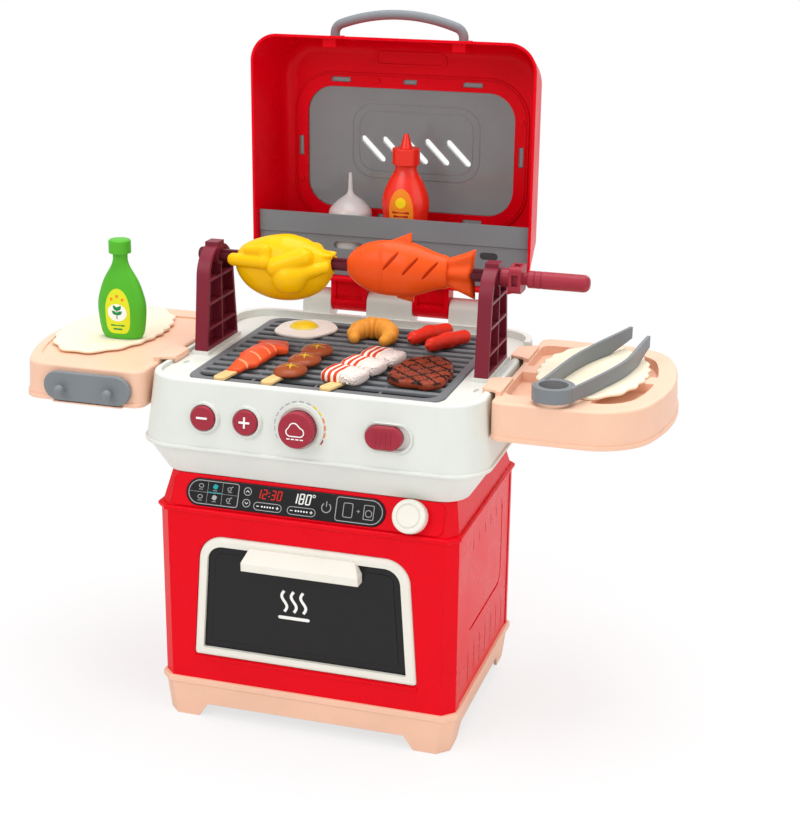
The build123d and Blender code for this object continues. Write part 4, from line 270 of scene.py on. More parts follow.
def blot(ink, surface, outline, rings=1, lift=0.0):
    """A filled outline; more rings let it follow a curved surface."""
    points, faces = ink
    outline = np.array(outline, float)
    middle = outline.mean(0)
    count = len(outline)
    for high, turn in ((lift + ink_thickness, 1), (-ink_sink, -1)):
        first = len(points)
        points.append(surface(middle[0], middle[1], high))
        for ring in range(1, rings + 1):
            for a, b in middle + (outline - middle) * ring / rings:
                points.append(surface(a, b, high))
        for index in range(count):
            following = (index + 1) % count
            faces.append((first, first + 1 + index, first + 1 + following)[::turn])
            for ring in range(rings - 1):
                here = first + 1 + ring * count
                faces.append((here + index, here + count + index, here + count + following,
                              here + following)[::turn])
    top = len(points) - 1 - count * rings - count
    low = len(points) - count
    for index in range(count):
        following = (index + 1) % count
        faces.append((top + index, low + index, low + following, top + following))


def arc(x, y, radius, start, end, steps=12, squash=1.0):
    """Points of an arc, with its angles in degrees."""
    angles = [math.radians(start + (end - start) * step / steps) for step in range(steps + 1)]
    return [(x + radius * math.cos(a), y + radius * squash * math.sin(a)) for a in angles]


def round_bar(x, y, width, height, corner=None, steps=6):
    """Outline of a rectangle with round corners; a pill where no corner is given."""
    corner = min(width, height) / 2 if corner is None else corner
    outline = []
    for sx, sy, start in ((1, 1, 0), (-1, 1, 90), (-1, -1, 180), (1, -1, 270)):
        outline += arc(x + sx * (width / 2 - corner), y + sy * (height / 2 - corner), corner,
                       start, start + 90, steps)
    return outline


def ruled(*corners, steps=8):
    """Straight lines between corners, cut into short steps so that they follow a curved skin."""
    line = [corners[0]]
    for (ax, ay), (bx, by) in zip(corners, corners[1:]):
        line += [(ax + (bx - ax) * step / steps, ay + (by - ay) * step / steps)
                 for step in range(1, steps + 1)]
    return line


print("mesh helpers ready")

# %% [markdown]
# ## Colour
# Colours are chosen as hex codes, as a painter's chart lists them, but light adds up in linear
# numbers, so one function turns the code into those.


# %% Hex to linear
def linear(code):
    """A hex colour as linear red, green and blue, with full cover."""
    parts = [int(code[place:place + 2], 16) / 255 for place in (1, 3, 5)]
    return [part / 12.92 if part <= 0.04045 else ((part + 0.055) / 1.055) ** 2.4 for part in parts] + [1.0]


def add(tree, kind, inputs=None, **settings):
    """Adds a node, gives it its settings, and fills its sockets with values or links."""
    node = tree.nodes.new("ShaderNode" + kind)
    for name, value in settings.items():
        setattr(node, name, value)
    for socket, value in (inputs or {}).items():
        if isinstance(value, bpy.types.NodeSocket):
            tree.links.new(value, node.inputs[socket])
        else:
            node.inputs[socket].default_value = value
    return node


def blank_tree(owner):
    """Turns nodes on for a material or a world, and empties its tree."""
    owner.use_nodes = True
    owner.node_tree.nodes.clear()
    return owner.node_tree


# %% [markdown]
# ## Moulded plastic
# ABS and its cousins leave the mould with the mould's own finish: a polished steel cavity gives a
# glossy shell, and a lightly blasted one gives satin. Two things keep it from looking like a flat
# colour. The cooling skin ripples very slightly, so highlights waver, and handling leaves patches
# that are a little duller. The ripple here is a noise with a real wavelength in millimetres. Sharp
# mould edges are rounded by a bevel on the normals, so that they catch light as real ones do.


# %% The plastic recipe
def plastic(name, code, roughness=0.3, ripple=16.0, depth=0.012, grain=0.0, edge=0.5, glow=0.0,
            mottle=0.03, paint=None, gloss=0.18):
    """A moulded finish: base hex, roughness, ripple wavelength and depth in mm, optional fine grain in mm."""
    handling_patch = 45.0
    material = bpy.data.materials.new(name)
    tree = blank_tree(material)
    output = add(tree, "OutputMaterial")
    place = add(tree, "TexCoord").outputs["Object"]
    patches = add(tree, "TexNoise", {"Vector": place, "Scale": 1 / (handling_patch * mm),
                                     "Detail": 3.0}).outputs["Fac"]
    tone = add(tree, "MapRange", {"Value": patches, "From Min": 0.3, "From Max": 0.7, "To Min": 1 - mottle,
                                  "To Max": 1 + mottle}).outputs["Result"]
    colour = add(tree, "HueSaturation", {"Color": linear(code), "Value": tone}).outputs["Color"]
    if paint:
        mask = add(tree, "Attribute", attribute_name="paint").outputs["Fac"]
        colour = add(tree, "Mix", {"Factor": mask, "A": colour, "B": linear(paint)}, data_type="RGBA")
        colour = colour.outputs["Result"]
    dull = add(tree, "MapRange", {"Value": patches, "From Min": 0.3, "From Max": 0.7,
                                  "To Min": roughness - 0.04, "To Max": roughness + 0.05}).outputs["Result"]
    waves = add(tree, "TexNoise", {"Vector": place, "Scale": 1 / (ripple * mm), "Detail": 1.0}).outputs["Fac"]
    normal = add(tree, "Bevel", {"Radius": edge * mm}, samples=4).outputs["Normal"] if edge else None
    bump = add(tree, "Bump", {"Height": waves, "Distance": depth * mm, "Strength": 1.0})
    if normal:
        tree.links.new(normal, bump.inputs["Normal"])
    if grain:
        grit = add(tree, "TexNoise", {"Vector": place, "Scale": 1 / (grain * mm),
                                      "Detail": 2.0}).outputs["Fac"]
        bump = add(tree, "Bump", {"Height": grit, "Distance": 0.06 * grain * mm, "Strength": 1.0,
                                  "Normal": bump.outputs["Normal"]})
    shader = add(tree, "BsdfPrincipled", {"Base Color": colour, "Roughness": dull, "IOR": 1.5,
                                          "Specular IOR Level": gloss, "Subsurface Weight": glow,
                                          "Subsurface Scale": 3 * mm, "Normal": bump.outputs["Normal"]})
    tree.links.new(shader.outputs["BSDF"], output.inputs["Surface"])
    return material


red_abs = plastic("red_glossy_ABS", "#E60018", 0.28, gloss=0.1)
peach_abs = plastic("peach_satin_ABS", "#F3C5AA", 0.38)
white_abs = plastic("white_satin_ABS", "#DFE2DB", 0.34)
cream_abs = plastic("cream_satin_ABS", "#EBE8DD", 0.34)
burgundy_abs = plastic("burgundy_satin_ABS", "#7E2636", 0.36)
# The buttons' own lighter burgundy; on the spit handle the same colour is painted light, for the light that
# falls on it from above.
button_and_lit_handle_abs = plastic("bright_burgundy_satin_ABS_lit_on_handle", "#A0303F", 0.32)
spit_abs = plastic("dark_burgundy_satin_ABS", "#5E1A28", 0.33)
grey_abs = plastic("grey_satin_ABS", "#7F8488", 0.36)
grate_abs = plastic("grate_grey_satin_ABS", "#74777A", 0.38, edge=1.2)
liner_abs = plastic("charcoal_matt_ABS", "#26282B", 0.55, grain=0.8)
glass_abs = plastic("black_polished_ABS", "#1B1A1C", 0.12, ripple=25.0, mottle=0.02, gloss=0.25)
print("first finishes:", len(bpy.data.materials))

# %% [markdown]
# ## Clear plastic
# The lid's window is smoke-grey polystyrene and the small squeeze bottle is milky polyethylene. Both
# let the background through, so a share of each is simply transparent, under a glossy face.


# %% Window and squeeze bottle
def clear_plastic(name, code, cover, roughness):
    """See-through plastic: its colour covers that share of what is behind it."""
    material = bpy.data.materials.new(name)
    tree = blank_tree(material)
    output = add(tree, "OutputMaterial")
    place = add(tree, "TexCoord").outputs["Object"]
    waves = add(tree, "TexNoise", {"Vector": place, "Scale": 1 / (30 * mm), "Detail": 1.0}).outputs["Fac"]
    bump = add(tree, "Bump", {"Height": waves, "Distance": 0.05 * mm, "Strength": 1.0})
    tone = add(tree, "MapRange", {"Value": waves, "To Min": cover - 0.03, "To Max": cover + 0.03})
    shader = add(tree, "BsdfPrincipled", {"Base Color": linear(code), "Roughness": roughness, "IOR": 1.5,
                                          "Alpha": tone.outputs["Result"], "Normal": bump.outputs["Normal"]})
    tree.links.new(shader.outputs["BSDF"], output.inputs["Surface"])
    return material


smoke_window = clear_plastic("smoke_grey_clear_styrene", "#77797A", 0.72, 0.10)
milky_bottle = clear_plastic("milky_clear_polyethylene", "#E9ECEA", 0.62, 0.18)

# %% [markdown]
# ## Steel
# Screws and pins are zinc-plated steel. A metal gets its look from reflections alone, so it keeps
# the default IOR, and a fine noise stands for the dull crystals of the plating.


# %% Plated steel
def plated_steel():
    """Bright metal whose dullness changes from crystal to crystal, drawn at 1.5 mm so that it shows."""
    material = bpy.data.materials.new("zinc_plated_steel")
    tree = blank_tree(material)
    output = add(tree, "OutputMaterial")
    place = add(tree, "TexCoord").outputs["Object"]
    crystals = add(tree, "TexNoise", {"Vector": place, "Scale": 1 / (1.5 * mm), "Detail": 2.0})
    dull = add(tree, "MapRange", {"Value": crystals.outputs["Fac"], "To Min": 0.22, "To Max": 0.42})
    shader = add(tree, "BsdfPrincipled", {"Base Color": linear("#B9BBBD"), "Metallic": 1.0,
                                          "Roughness": dull.outputs["Result"]})
    tree.links.new(shader.outputs["BSDF"], output.inputs["Surface"])
    return material


steel = plated_steel()
board_lacquer = plastic("green_board_lacquer", "#1F5A34", 0.4, edge=0.2)
cell_wrap = plastic("battery_sleeve", "#3A6EA5", 0.3, edge=0.3)

# %% [markdown]
# ## Dressing the rigid shells
# Each shell from the frame has the right shape already and only takes its finish.


# %% A finish for every rigid piece
def dress(finishes):
    """Gives each shell from the frame its one finish."""
    for node, finish in finishes.items():
        materials = nodes[node].data.materials
        materials.clear()
        materials.append(finish)
    print("dressed", len(finishes), "rigid pieces")


dress({
    "base": peach_abs, "base_screws": steel, "front_panel": red_abs, "right_side_panel": red_abs,
    "left_side_panel": red_abs, "back_panel": red_abs, "oven_liner": liner_abs, "fascia": red_abs,
    "display_plate": glass_abs, "oven_knob": cream_abs, "door_frame": cream_abs, "door_glass": glass_abs,
    "door_handle": cream_abs, "door_pins": steel, "tub_lower_shell": white_abs, "tub_upper_shell": white_abs,
    "tub_screws": steel, "coal_pan": liner_abs, "grill_grate": grate_abs, "minus_button": button_and_lit_handle_abs,
    "plus_button": button_and_lit_handle_abs, "heat_dial": button_and_lit_handle_abs, "slide_switch": button_and_lit_handle_abs,
    "circuit_board": board_lacquer, "speaker": liner_abs, "battery_box": liner_abs,
    "battery_cover": white_abs, "batteries": cell_wrap, "left_post": burgundy_abs,
    "right_post": burgundy_abs, "spit_rod": spit_abs,
    # The spit handle takes the buttons' lighter burgundy as painted light from above.
    "spit_handle": button_and_lit_handle_abs, "lid_shell": red_abs, "lid_window": smoke_window, "lid_screws": red_abs,
    "lid_pocket": grey_abs, "hinge_pin": steel, "left_tray": peach_abs, "hook_plate": grey_abs,
    "right_tray": peach_abs, "tongs_outer_arm": grey_abs, "tongs_inner_arm": grey_abs,
    "carry_handle": grey_abs,
})

# %% [markdown]
# ## Food plastics
# The play food is moulded in a slightly soft vinyl that light enters a little way, which shows as a
# warm glow in thin places. A second colour follows a mask that is worked out from the shape: on most
# food it is printed or sprayed marks, but the darker croissant creases and fish cuts are painted shade.

# %% Vinyl finishes
chicken_vinyl = plastic("yellow_soft_vinyl", "#F5BE00", 0.30, depth=0.03, edge=0.0, glow=0.10, mottle=0.02)
# The paint colour #B53208 is painted shade on the floor of the knife cuts.
fish_vinyl = plastic("orange_soft_vinyl", "#EC5418", 0.34, depth=0.03, edge=0.0, glow=0.08, mottle=0.02,
                     paint="#B53208")
egg_vinyl = plastic("egg_white_vinyl", "#F4ECE2", 0.38, depth=0.03, edge=0.0, glow=0.10, mottle=0.01)
yolk_vinyl = plastic("yolk_glossy_vinyl", "#F8D322", 0.20, depth=0.02, edge=0.0, glow=0.12, mottle=0.02,
                     paint="#F2E08A")
# The paint colour #D8741A is painted shade, laid in the creases between the segments.
pastry_vinyl = plastic("golden_pastry_vinyl", "#F7A942", 0.36, depth=0.05, edge=0.0, glow=0.10, mottle=0.05,
                       paint="#D8741A")
sausage_vinyl = plastic("red_sausage_vinyl", "#F43A26", 0.26, depth=0.02, edge=0.0, glow=0.10, mottle=0.02)
squid_vinyl = plastic("squid_orange_vinyl", "#F2592E", 0.36, depth=0.05, edge=0.0, glow=0.10, mottle=0.05,
                      paint="#F8AE85")
mushroom_vinyl = plastic("mushroom_brown_vinyl", "#9C4C2C", 0.24, depth=0.03, edge=0.0, glow=0.05,
                         mottle=0.10, paint="#DDB91E")
enoki_vinyl = plastic("enoki_cream_vinyl", "#EBDDD6", 0.5, ripple=3.0, depth=0.35, grain=1.2, edge=0.0,
                      glow=0.05)
bacon_vinyl = plastic("bacon_striped_vinyl", "#F7EEDF", 0.42, grain=1.0, edge=0.0, glow=0.08, mottle=0.03,
                      paint="#D2401F")
steak_vinyl = plastic("seared_steak_vinyl", "#8E3A22", 0.34, ripple=3.0, grain=1.6, depth=0.5, edge=0.0,
                      mottle=0.25, paint="#120502", gloss=0.2)
stick_wood = plastic("pale_stick_plastic", "#EBC588", 0.45, grain=1.0, edge=0.0, glow=0.05, mottle=0.06)
bread_vinyl = plastic("flatbread_cream_vinyl", "#F3E8CF", 0.55, grain=1.5, depth=0.10, edge=0.0, glow=0.08,
                      mottle=0.02)

# %% [markdown]
# ## Roast chicken
# The toy bird is one hollow moulding, pierced by the spit. Its body is an egg shape that hangs below
# the spit, with a drumstick folded along each flank and a wing bent back at the neck end. Each of
# those is a distance formula, joined with small fillets so that the creases stay visible.

# %% Chicken
chicken_low, chicken_high, _ = box_mm("roast_chicken")
bore_radius = 6.0


def chicken_distance(points):
    """The bird, measured from the spit: x along it, y away from the viewer, z up."""
    body = join(blob(points, (-66, 0, -8), (46, 22, 30)),
                limb(points, (-97, 0, -1), (-62, 0, 2), 12.5, 18.5), 12)
    body = join(body, limb(points, (-45, 0, 1), (-24, 0, 0.5), 16, 9.0), 9)
    for side in (-1, 1):
        thigh = limb(points, (-67, side * 19, -3), (-41, side * 15, 6.5), 9.5, 8.5)
        shank = join(blob(points, (-55, side * 18.5, -13.5), (16.5, 10.5, 14)),
                     limb(points, (-56, side * 20, -11), (-23, side * 13, -2.0), 9.5, 4.8), 5)
        shank = join(shank, blob(points, (-21, side * 12.5, -1.2), (4.4, 4.8, 5.4)), 2)
        wing = limb(points, (-111, side * 13, -0.2), (-77, side * 23.5, 1.6), 6.0, 6.0)
        wing = join(wing, limb(points, (-76, side * 22.5, 2), (-77, side * 19.5, 11), 6.0, 5.6), 2)
        wing = join(wing, limb(points, (-77, side * 19.5, 12), (-96, side * 15.5, 10), 5.4, 4.2), 2)
        body = join(join(join(body, thigh, 1.4), shank, 1.0), wing, 0.9)
    for side, height in ((-1, 7.5), (1, 7.5), (0, -7.5)):
        tail_flap = limb(points, (-31, side * 6, height * 0.9), (-18.6, side * 7.5, height * 1.1), 4.2, 1.3)
        body = join(body, tail_flap, 1.2)
    bore = limb(points, (-26, 0, 0), (10, 0, 0), bore_radius, bore_radius + 3)
    return cut(body, bore, 1.0)


origins, rays = bean_rays((-104, 0, 0), (-24, 0, 0), rows=190, cap_rows=26, columns=150)
chicken_skin = wrap(chicken_distance, origins, rays, reach=60) + spit_line
print("chicken", chicken_skin.reshape(-1, 3).min(0).round(1), chicken_skin.reshape(-1, 3).max(0).round(1),
      "frame", chicken_low.round(1), chicken_high.round(1))
net_piece("roast_chicken_skin", chicken_skin, chicken_vinyl, "spit", "yellow_plastic", ("roast_chicken",),
          crease=180)

# %% [markdown]
# ## Roast fish
# A torpedo body with a gill seam, three knife cuts in each flank, two fins and a ribbed fan tail.
# The seam and cuts are pressed into the net after it is wrapped, and the cuts' floor gets a darker colour as
# painted shade.

# %% Fish
knife_cuts = (((48, 18.5), (35, 2.5)), ((66.5, 15), (53.5, -1)), ((84, 11.5), (71, -4.5)))
knife_half_width, knife_depth = 1.9, 2.2
tail_root, tail_reach = 86.0, 116.5


def fish_distance(points):
    """The body and its two fins, measured from the spit: x along it, y away from the viewer, z up."""
    x, across, z = points[..., 0], np.abs(points[..., 1]), points[..., 2]
    body = blob(points, (37, 0, 0.3), (42, 17.8, 25.3))
    flattened = points * np.array((1, 1.16, 1))
    body = join(body, limb(flattened, (58, 0, 0.3), (84, 0, 0.3), 20.4, 15.8), 12)
    body = np.maximum(body, x - 92)
    ribbed = across - 2.0 - 0.4 * np.abs(np.sin(x * 0.7))
    fin = np.maximum(ribbed, np.maximum(z - 26 - 0.45 * (x - 38), 15 - z))
    body = join(body, np.maximum(np.maximum(fin, 31 - x), x - 56), 1.4)
    vent = np.maximum(across - 2.0, np.maximum(-z - 27.0 - 0.18 * (x - 46), np.maximum(z + 15, 44 - x)))
    return join(body, np.maximum(vent, x - 59), 1.4)


def flank_marks(place):
    """How deep the mould presses the knife cuts, the gill seam and the eye in, and the cuts' share of it,
    which is the mask of the painted shade in the cuts.
    """
    x, z = place[..., 0], place[..., 2]
    knife = np.zeros(x.shape)
    for (ax, az), (bx, bz) in knife_cuts:
        length = math.hypot(bx - ax, bz - az)
        along = ((x - ax) * (bx - ax) + (z - az) * (bz - az)) / length ** 2
        off = np.abs((x - ax) * (bz - az) - (z - az) * (bx - ax)) / length
        half = knife_half_width * np.sqrt(np.clip(4 * along * (1 - along), 0, 1)) + 1e-6
        press = np.clip(1.25 * (1 - off / half), 0, 1)
        knife = np.maximum(knife, np.where((along > 0) & (along < 1), press, 0))
    gill = np.abs(np.hypot(x + 20, z * 0.85) - 53.0)
    seam = np.maximum(np.clip(1 - np.abs(gill - 1.1) / 0.55, 0, 1), 0)
    eye = np.clip(1 - np.abs(np.hypot(x - 11.7, z - 15.8) - 2.8) / 0.6, 0, 1)
    side = np.clip((np.abs(place[..., 1]) - 3) / 3, 0, 1)
    return side * (knife_depth * knife + 0.5 * seam + 0.6 * eye), side * knife


origins, rays = bean_rays((14, 0, 0), (84, 0, 0), rows=300, cap_rows=60, columns=220)
fish_local = wrap(fish_distance, origins, rays, reach=48)
# The cuts' share is the mask of the painted shade on their floor.
pressed, cut_shade = flank_marks(fish_local)
fish_skin = fish_local - rays * pressed[..., None] + spit_line
net_piece("roast_fish_skin", fish_skin, fish_vinyl, "spit", "orange_plastic", ("roast_fish",),
          paint=cut_shade, crease=180)
tail_rows, tail_columns = 40, 160
tail_rings = []
for reach in np.linspace(0, 1, tail_rows):
    half = 11.5 + 11.5 * reach ** 1.2
    ring = []
    for column in range(tail_columns):
        angle = 2 * math.pi * column / tail_columns
        c, s = math.cos(angle), math.sin(angle)
        up = half * math.copysign(abs(s) ** 0.55, s)
        edge = 1 - 0.55 * max(0.0, (reach - 0.9) / 0.1) ** 2
        rib = 0.9 * math.cos(up / half * 2.5 * math.pi) * (0.3 + 0.7 * reach)
        thick = (6.2 - 1.6 * reach + rib + 2.6 * math.exp(-(up / 6) ** 2)) * edge
        notch = 3.4 * (1 - abs(up / half)) * reach
        ring.append((tail_root + (tail_reach - tail_root) * reach - notch,
                     thick * math.copysign(abs(c) ** 0.5, c), up + 0.6))
    tail_rings.append(ring)
net_piece("roast_fish_tail", np.array(tail_rings) + spit_line, fish_vinyl, "spit", "orange_plastic",
          ("roast_fish",), paint=np.zeros((tail_rows, tail_columns)), crease=50)
print("fish", fish_skin.reshape(-1, 3).min(0).round(1), fish_skin.reshape(-1, 3).max(0).round(1))

# %% [markdown]
# ## Round food
# Eggs, mushrooms, steak and flatbread are all pats: an outline, a rounded rim and a top. A pat is a
# polar net, with rows that run from the middle of the top, over the rim, to the middle of the base.


# %% Pats
def pat(middle, outline, thickness, rim=0.45, rows=60, columns=240, top=None):
    """Net of a pat on its base; outline gives the radius at an angle, top adds height at a place."""
    x, y, base = middle
    angles = full_turn(columns)
    reach = np.array([outline(a) for a in angles])
    rounding = rim * thickness
    wall_rows, undercut, middle_hole = 5, 0.35, 0.05
    rings = []
    for share in np.linspace(0.01, 1, rows):
        radius = reach * share
        edge = np.clip((radius - (reach - rounding)) / rounding, 0, 1)
        height = thickness - rounding * (1 - np.sqrt(np.maximum(1 - edge ** 2, 0)))
        px, py = x + radius * np.cos(angles), y + radius * np.sin(angles)
        if top is not None:
            height = height + np.array([top(a, b) for a, b in zip(px - x, py - y)]) * (1 - edge)
        rings.append(np.stack([px, py, base + height], -1))
    for share in np.linspace(0, 1, wall_rows + 1)[1:]:
        radius = reach - rounding * undercut * share ** 2
        height = (thickness - rounding) * (1 - share)
        rings.append(np.stack([x + radius * np.cos(angles), y + radius * np.sin(angles),
                               np.full(columns, base + height)], -1))
    rings.append(np.stack([x + middle_hole * reach * np.cos(angles), y + middle_hole * reach * np.sin(angles),
                           np.full(columns, base)], -1))
    return np.array(rings)


def superellipse(half_width, half_depth, power):
    """Radius of a rounded rectangle at an angle."""
    def radius(angle):
        c, s = math.cos(angle), math.sin(angle)
        return (abs(c / half_width) ** power + abs(s / half_depth) ** power) ** (-1 / power)
    return radius


def squaring(c, s, power):
    """How far a round section swells towards a square one, at an angle's cosine and sine."""
    return (abs(c) ** power + abs(s) ** power) ** (-1 / power)


# %% Fried egg
egg_low, egg_high, egg_middle = box_mm("egg_white")
egg_half = (egg_high - egg_low) / 2


def egg_outline(angle):
    """An uneven round, as egg white sets."""
    wave = 0.95 + 0.035 * math.sin(2 * angle + 0.6) + 0.03 * math.sin(5 * angle + 1.0)
    return wave * superellipse(egg_half[0], egg_half[1], 2.1)(angle)


def egg_top(a, b):
    """A slight unevenness of the top."""
    return 0.35 * noise.noise((a * 0.09, b * 0.09, 1.0)) - 0.3


net_piece("fried_egg_white", pat((egg_middle[0], egg_middle[1], egg_low[2]), egg_outline,
                                 egg_high[2] - egg_low[2], top=egg_top),
          egg_vinyl, "egg", "egg_plastic", ("egg_white",), crease=180)
yolk_low, yolk_high, yolk_middle = box_mm("egg_yolk")
yolk_radius = (yolk_high[0] - yolk_low[0]) / 2
yolk_rise = yolk_high[2] - yolk_low[2]
yolk_rows, yolk_columns, yolk_rim_row = 31, 72, 26
angles = full_turn(yolk_columns)
yolk_rings = []
for step in range(yolk_rows):
    share = max(step / (yolk_rows - 1), 0.01)
    rise = 0.85 * yolk_rise * (1 - share ** 3.6)
    yolk_rings.append(np.stack([yolk_middle[0] + yolk_radius * share * np.cos(angles),
                                yolk_middle[1] + yolk_radius * share * np.sin(angles),
                                np.full(yolk_columns, yolk_low[2] - 0.4 + rise)], -1))
yolk_paint = np.repeat([max(0.0, (step - yolk_rim_row) / 4) for step in range(yolk_rows)], yolk_columns)
net_piece("fried_egg_yolk", yolk_rings, yolk_vinyl, "egg", "yolk_plastic", ("egg_yolk",), paint=yolk_paint,
          crease=180)
print("egg", egg_half.round(1))

# %% [markdown]
# ## Croissant and sausages
# A croissant is a rolled triangle, so it shows plump segments that shrink towards two tips. Here a
# chain of short limbs along a bow makes the segments, and a crease is pressed in between them, painted darker
# the deeper it lies as painted shade.

# %% Croissant
pastry_low, pastry_high, pastry_middle = box_mm("croissant")
bow_radii = ((pastry_high[0] - pastry_low[0]) / 2 - 9.0, (pastry_high[1] - pastry_low[1]) / 2 - 3.0)
segment_sizes = (5.2, 7.6, 9.6, 10.8, 10.8, 9.6, 7.6, 5.2)
segment_seat = 0.86                 # height of a segment's middle, as a share of its radius
segment_shares = np.linspace(0, 1, len(segment_sizes))
pastry_creases = len(segment_sizes) - 1
pastry_rows, pastry_cap_rows = 150, 14


def bow_place(share):
    """Middle of the pastry at a share of its length: an arch whose tips face the viewer."""
    angle = math.radians(205 - 230 * share)
    return np.array((pastry_middle[0] + bow_radii[0] * math.cos(angle),
                     pastry_middle[1] - 5.5 + bow_radii[1] * math.sin(angle)))


def bow_heading(share, step):
    """Which way the bow runs at a share of its length, read from a step to either side."""
    ahead, behind = bow_place(share + step), bow_place(share - step)
    return (ahead - behind) / np.linalg.norm(ahead - behind)


def pastry_distance(points):
    """The segments, joined along the bow and flat underneath."""
    shape = np.full(points.shape[:-1], 80.0)
    for share, size in zip(segment_shares, segment_sizes):
        x, y = bow_place(share)
        heading = bow_heading(share, 0.05)
        reach = 3.2 if 0 < share < 1 else 1.5
        height = pastry_low[2] + size * segment_seat
        start = (x - heading[0] * reach, y - heading[1] * reach, height)
        end = (x + heading[0] * reach, y + heading[1] * reach, height)
        shape = join(shape, limb(points, start, end, size, size), 1.1)
    return np.maximum(shape, pastry_low[2] - points[..., 2])


def bow_rays(rows, cap_rows, columns):
    """Rays that leave the bow on all sides and at both tips."""
    angles = full_turn(columns)
    origins, rays = [], []
    for share, tilt in capped_steps(rows, cap_rows):
        x, y = bow_place(share)
        heading = np.array((*bow_heading(share, 0.02), 0.0))
        side = np.cross(heading, (0, 0, 1))
        spokes = np.cos(angles)[:, None] * side + np.sin(angles)[:, None] * np.array((0, 0, 1.0))
        height = pastry_low[2] + float(np.interp(share, segment_shares, segment_sizes)) * segment_seat
        origins.append(np.repeat(np.array((x, y, height))[None], columns, 0))
        rays.append(math.cos(tilt) * spokes + math.sin(tilt) * heading)
    return np.array(origins), np.array(rays)


origins, rays = bow_rays(pastry_rows, pastry_cap_rows, columns=80)
pastry_skin = wrap(pastry_distance, origins, rays, reach=15)
stretch = np.array([share for share, _ in capped_steps(pastry_rows, pastry_cap_rows)])
crease_depth = 1.2 * np.abs(np.sin(math.pi * pastry_creases * stretch)) ** 8
pastry_skin = pastry_skin - rays * crease_depth[:, None, None]
plain = np.interp(stretch, segment_shares, segment_sizes)
# How far the skin lies below a plain segment: the mask of the painted shade in the creases.
depth = plain[:, None] - np.linalg.norm(pastry_skin - origins, axis=-1)
net_piece("croissant_pastry", pastry_skin, pastry_vinyl, "croissant", "pastry_plastic", ("croissant",),
          paint=np.clip(depth / 3.0, 0, 0.8), crease=180)

# %% Sausages
base = box_mm("sausages")[0][2]
corners = mesh_corners("sausages")
sausage_lean = math.radians(61.0)
along = np.array((math.cos(sausage_lean), math.sin(sausage_lean)))
across = np.array((-along[1], along[0]))
sideways = corners[:, :2] @ across
split = (sideways.min() + sideways.max()) / 2
knot = 1.6
for index, (group, bow) in enumerate(((corners[sideways > split], 1.8), (corners[sideways <= split], 1.2))):
    run, off = group[:, :2] @ along, group[:, :2] @ across
    middle = across * (off.min() + off.max()) / 2
    radius = (off.max() - off.min()) / 2 + 0.3
    start = middle + along * (run.min() + radius)
    end = middle + along * (run.max() - radius)
    bend = across * bow

    def sausage_distance(points, start=start, end=end, radius=radius, bend=bend):
        half = (start + end) / 2 + bend
        shape = join(limb(points, (*start, base + radius), (*half, base + radius), radius * 0.93, radius),
                     limb(points, (*half, base + radius), (*end, base + radius), radius, radius * 0.93), 5)
        knots = [limb(points, (*(place + along * out * radius), base + radius), (*place, base + radius),
                      knot, knot) for place, out in ((start, -1), (end, 1))]
        knots = np.minimum(*knots)
        return np.maximum(join(shape, knots, 1.0), base - points[..., 2])

    origins, rays = bean_rays((*start, base + radius), (*end, base + radius), rows=60, cap_rows=16,
                              columns=56, side=(0, 0, 1))
    skin = wrap(sausage_distance, origins, rays, reach=16)
    net_piece(f"sausage_{index + 1}", skin, sausage_vinyl, "sausages", "sausage_plastic", ("sausages",),
              crease=180)
print("two sausages")

# %% [markdown]
# ## Skewers
# Each skewer is one moulding: food on a flat lolly stick. Their sticks are rounded bars with soft
# edges. The squid is a flattened cone with an arrow fin and four pale knife slits, the mushrooms
# are glossy caps with a yellow star cut into each, and the rolls are bacon round a bunch of enoki.


# %% Sticks
stick_width, stick_thickness = 12.0, 3.8


def bar_rings(start, end, width, thickness, base, rows=24, columns=40):
    """A flat stick with round ends, lying on its base."""
    start, end = np.array(start, float), np.array(end, float)
    heading = (end - start) / np.linalg.norm(end - start)
    side = np.array((-heading[1], heading[0]))
    length = np.linalg.norm(end - start)
    rings = []
    for step in range(rows + 1):
        run = length * (1 - math.cos(math.pi * step / rows)) / 2
        gap = min(run, length - run)
        round_off = math.sqrt(max(1 - max(1 - gap / (width / 2), 0) ** 2, 0.0004))
        half = width / 2 * round_off
        high = thickness / 2 * min(1.0, 0.35 + round_off)
        ring = []
        for angle in full_turn(columns):
            c, s = math.cos(angle), math.sin(angle)
            grow = squaring(c, s, 4)
            place = start + heading * run + side * half * c * grow
            ring.append((place[0], place[1], base + thickness / 2 + high * s * grow))
        rings.append(ring)
    return rings


def stick(name, inner_end, body, slot, node):
    """A skewer's lolly stick, from the front of its node to an end that is hidden under the food."""
    corners = mesh_corners(node)
    front_y = corners[:, 1].min()
    front = corners[corners[:, 1] < front_y + 6.0]
    rings = bar_rings((front[:, 0].mean(), front_y), inner_end, stick_width, stick_thickness,
                      box_mm(node)[0][2])
    net_piece(name, rings, stick_wood, body, slot, (node,), crease=60)


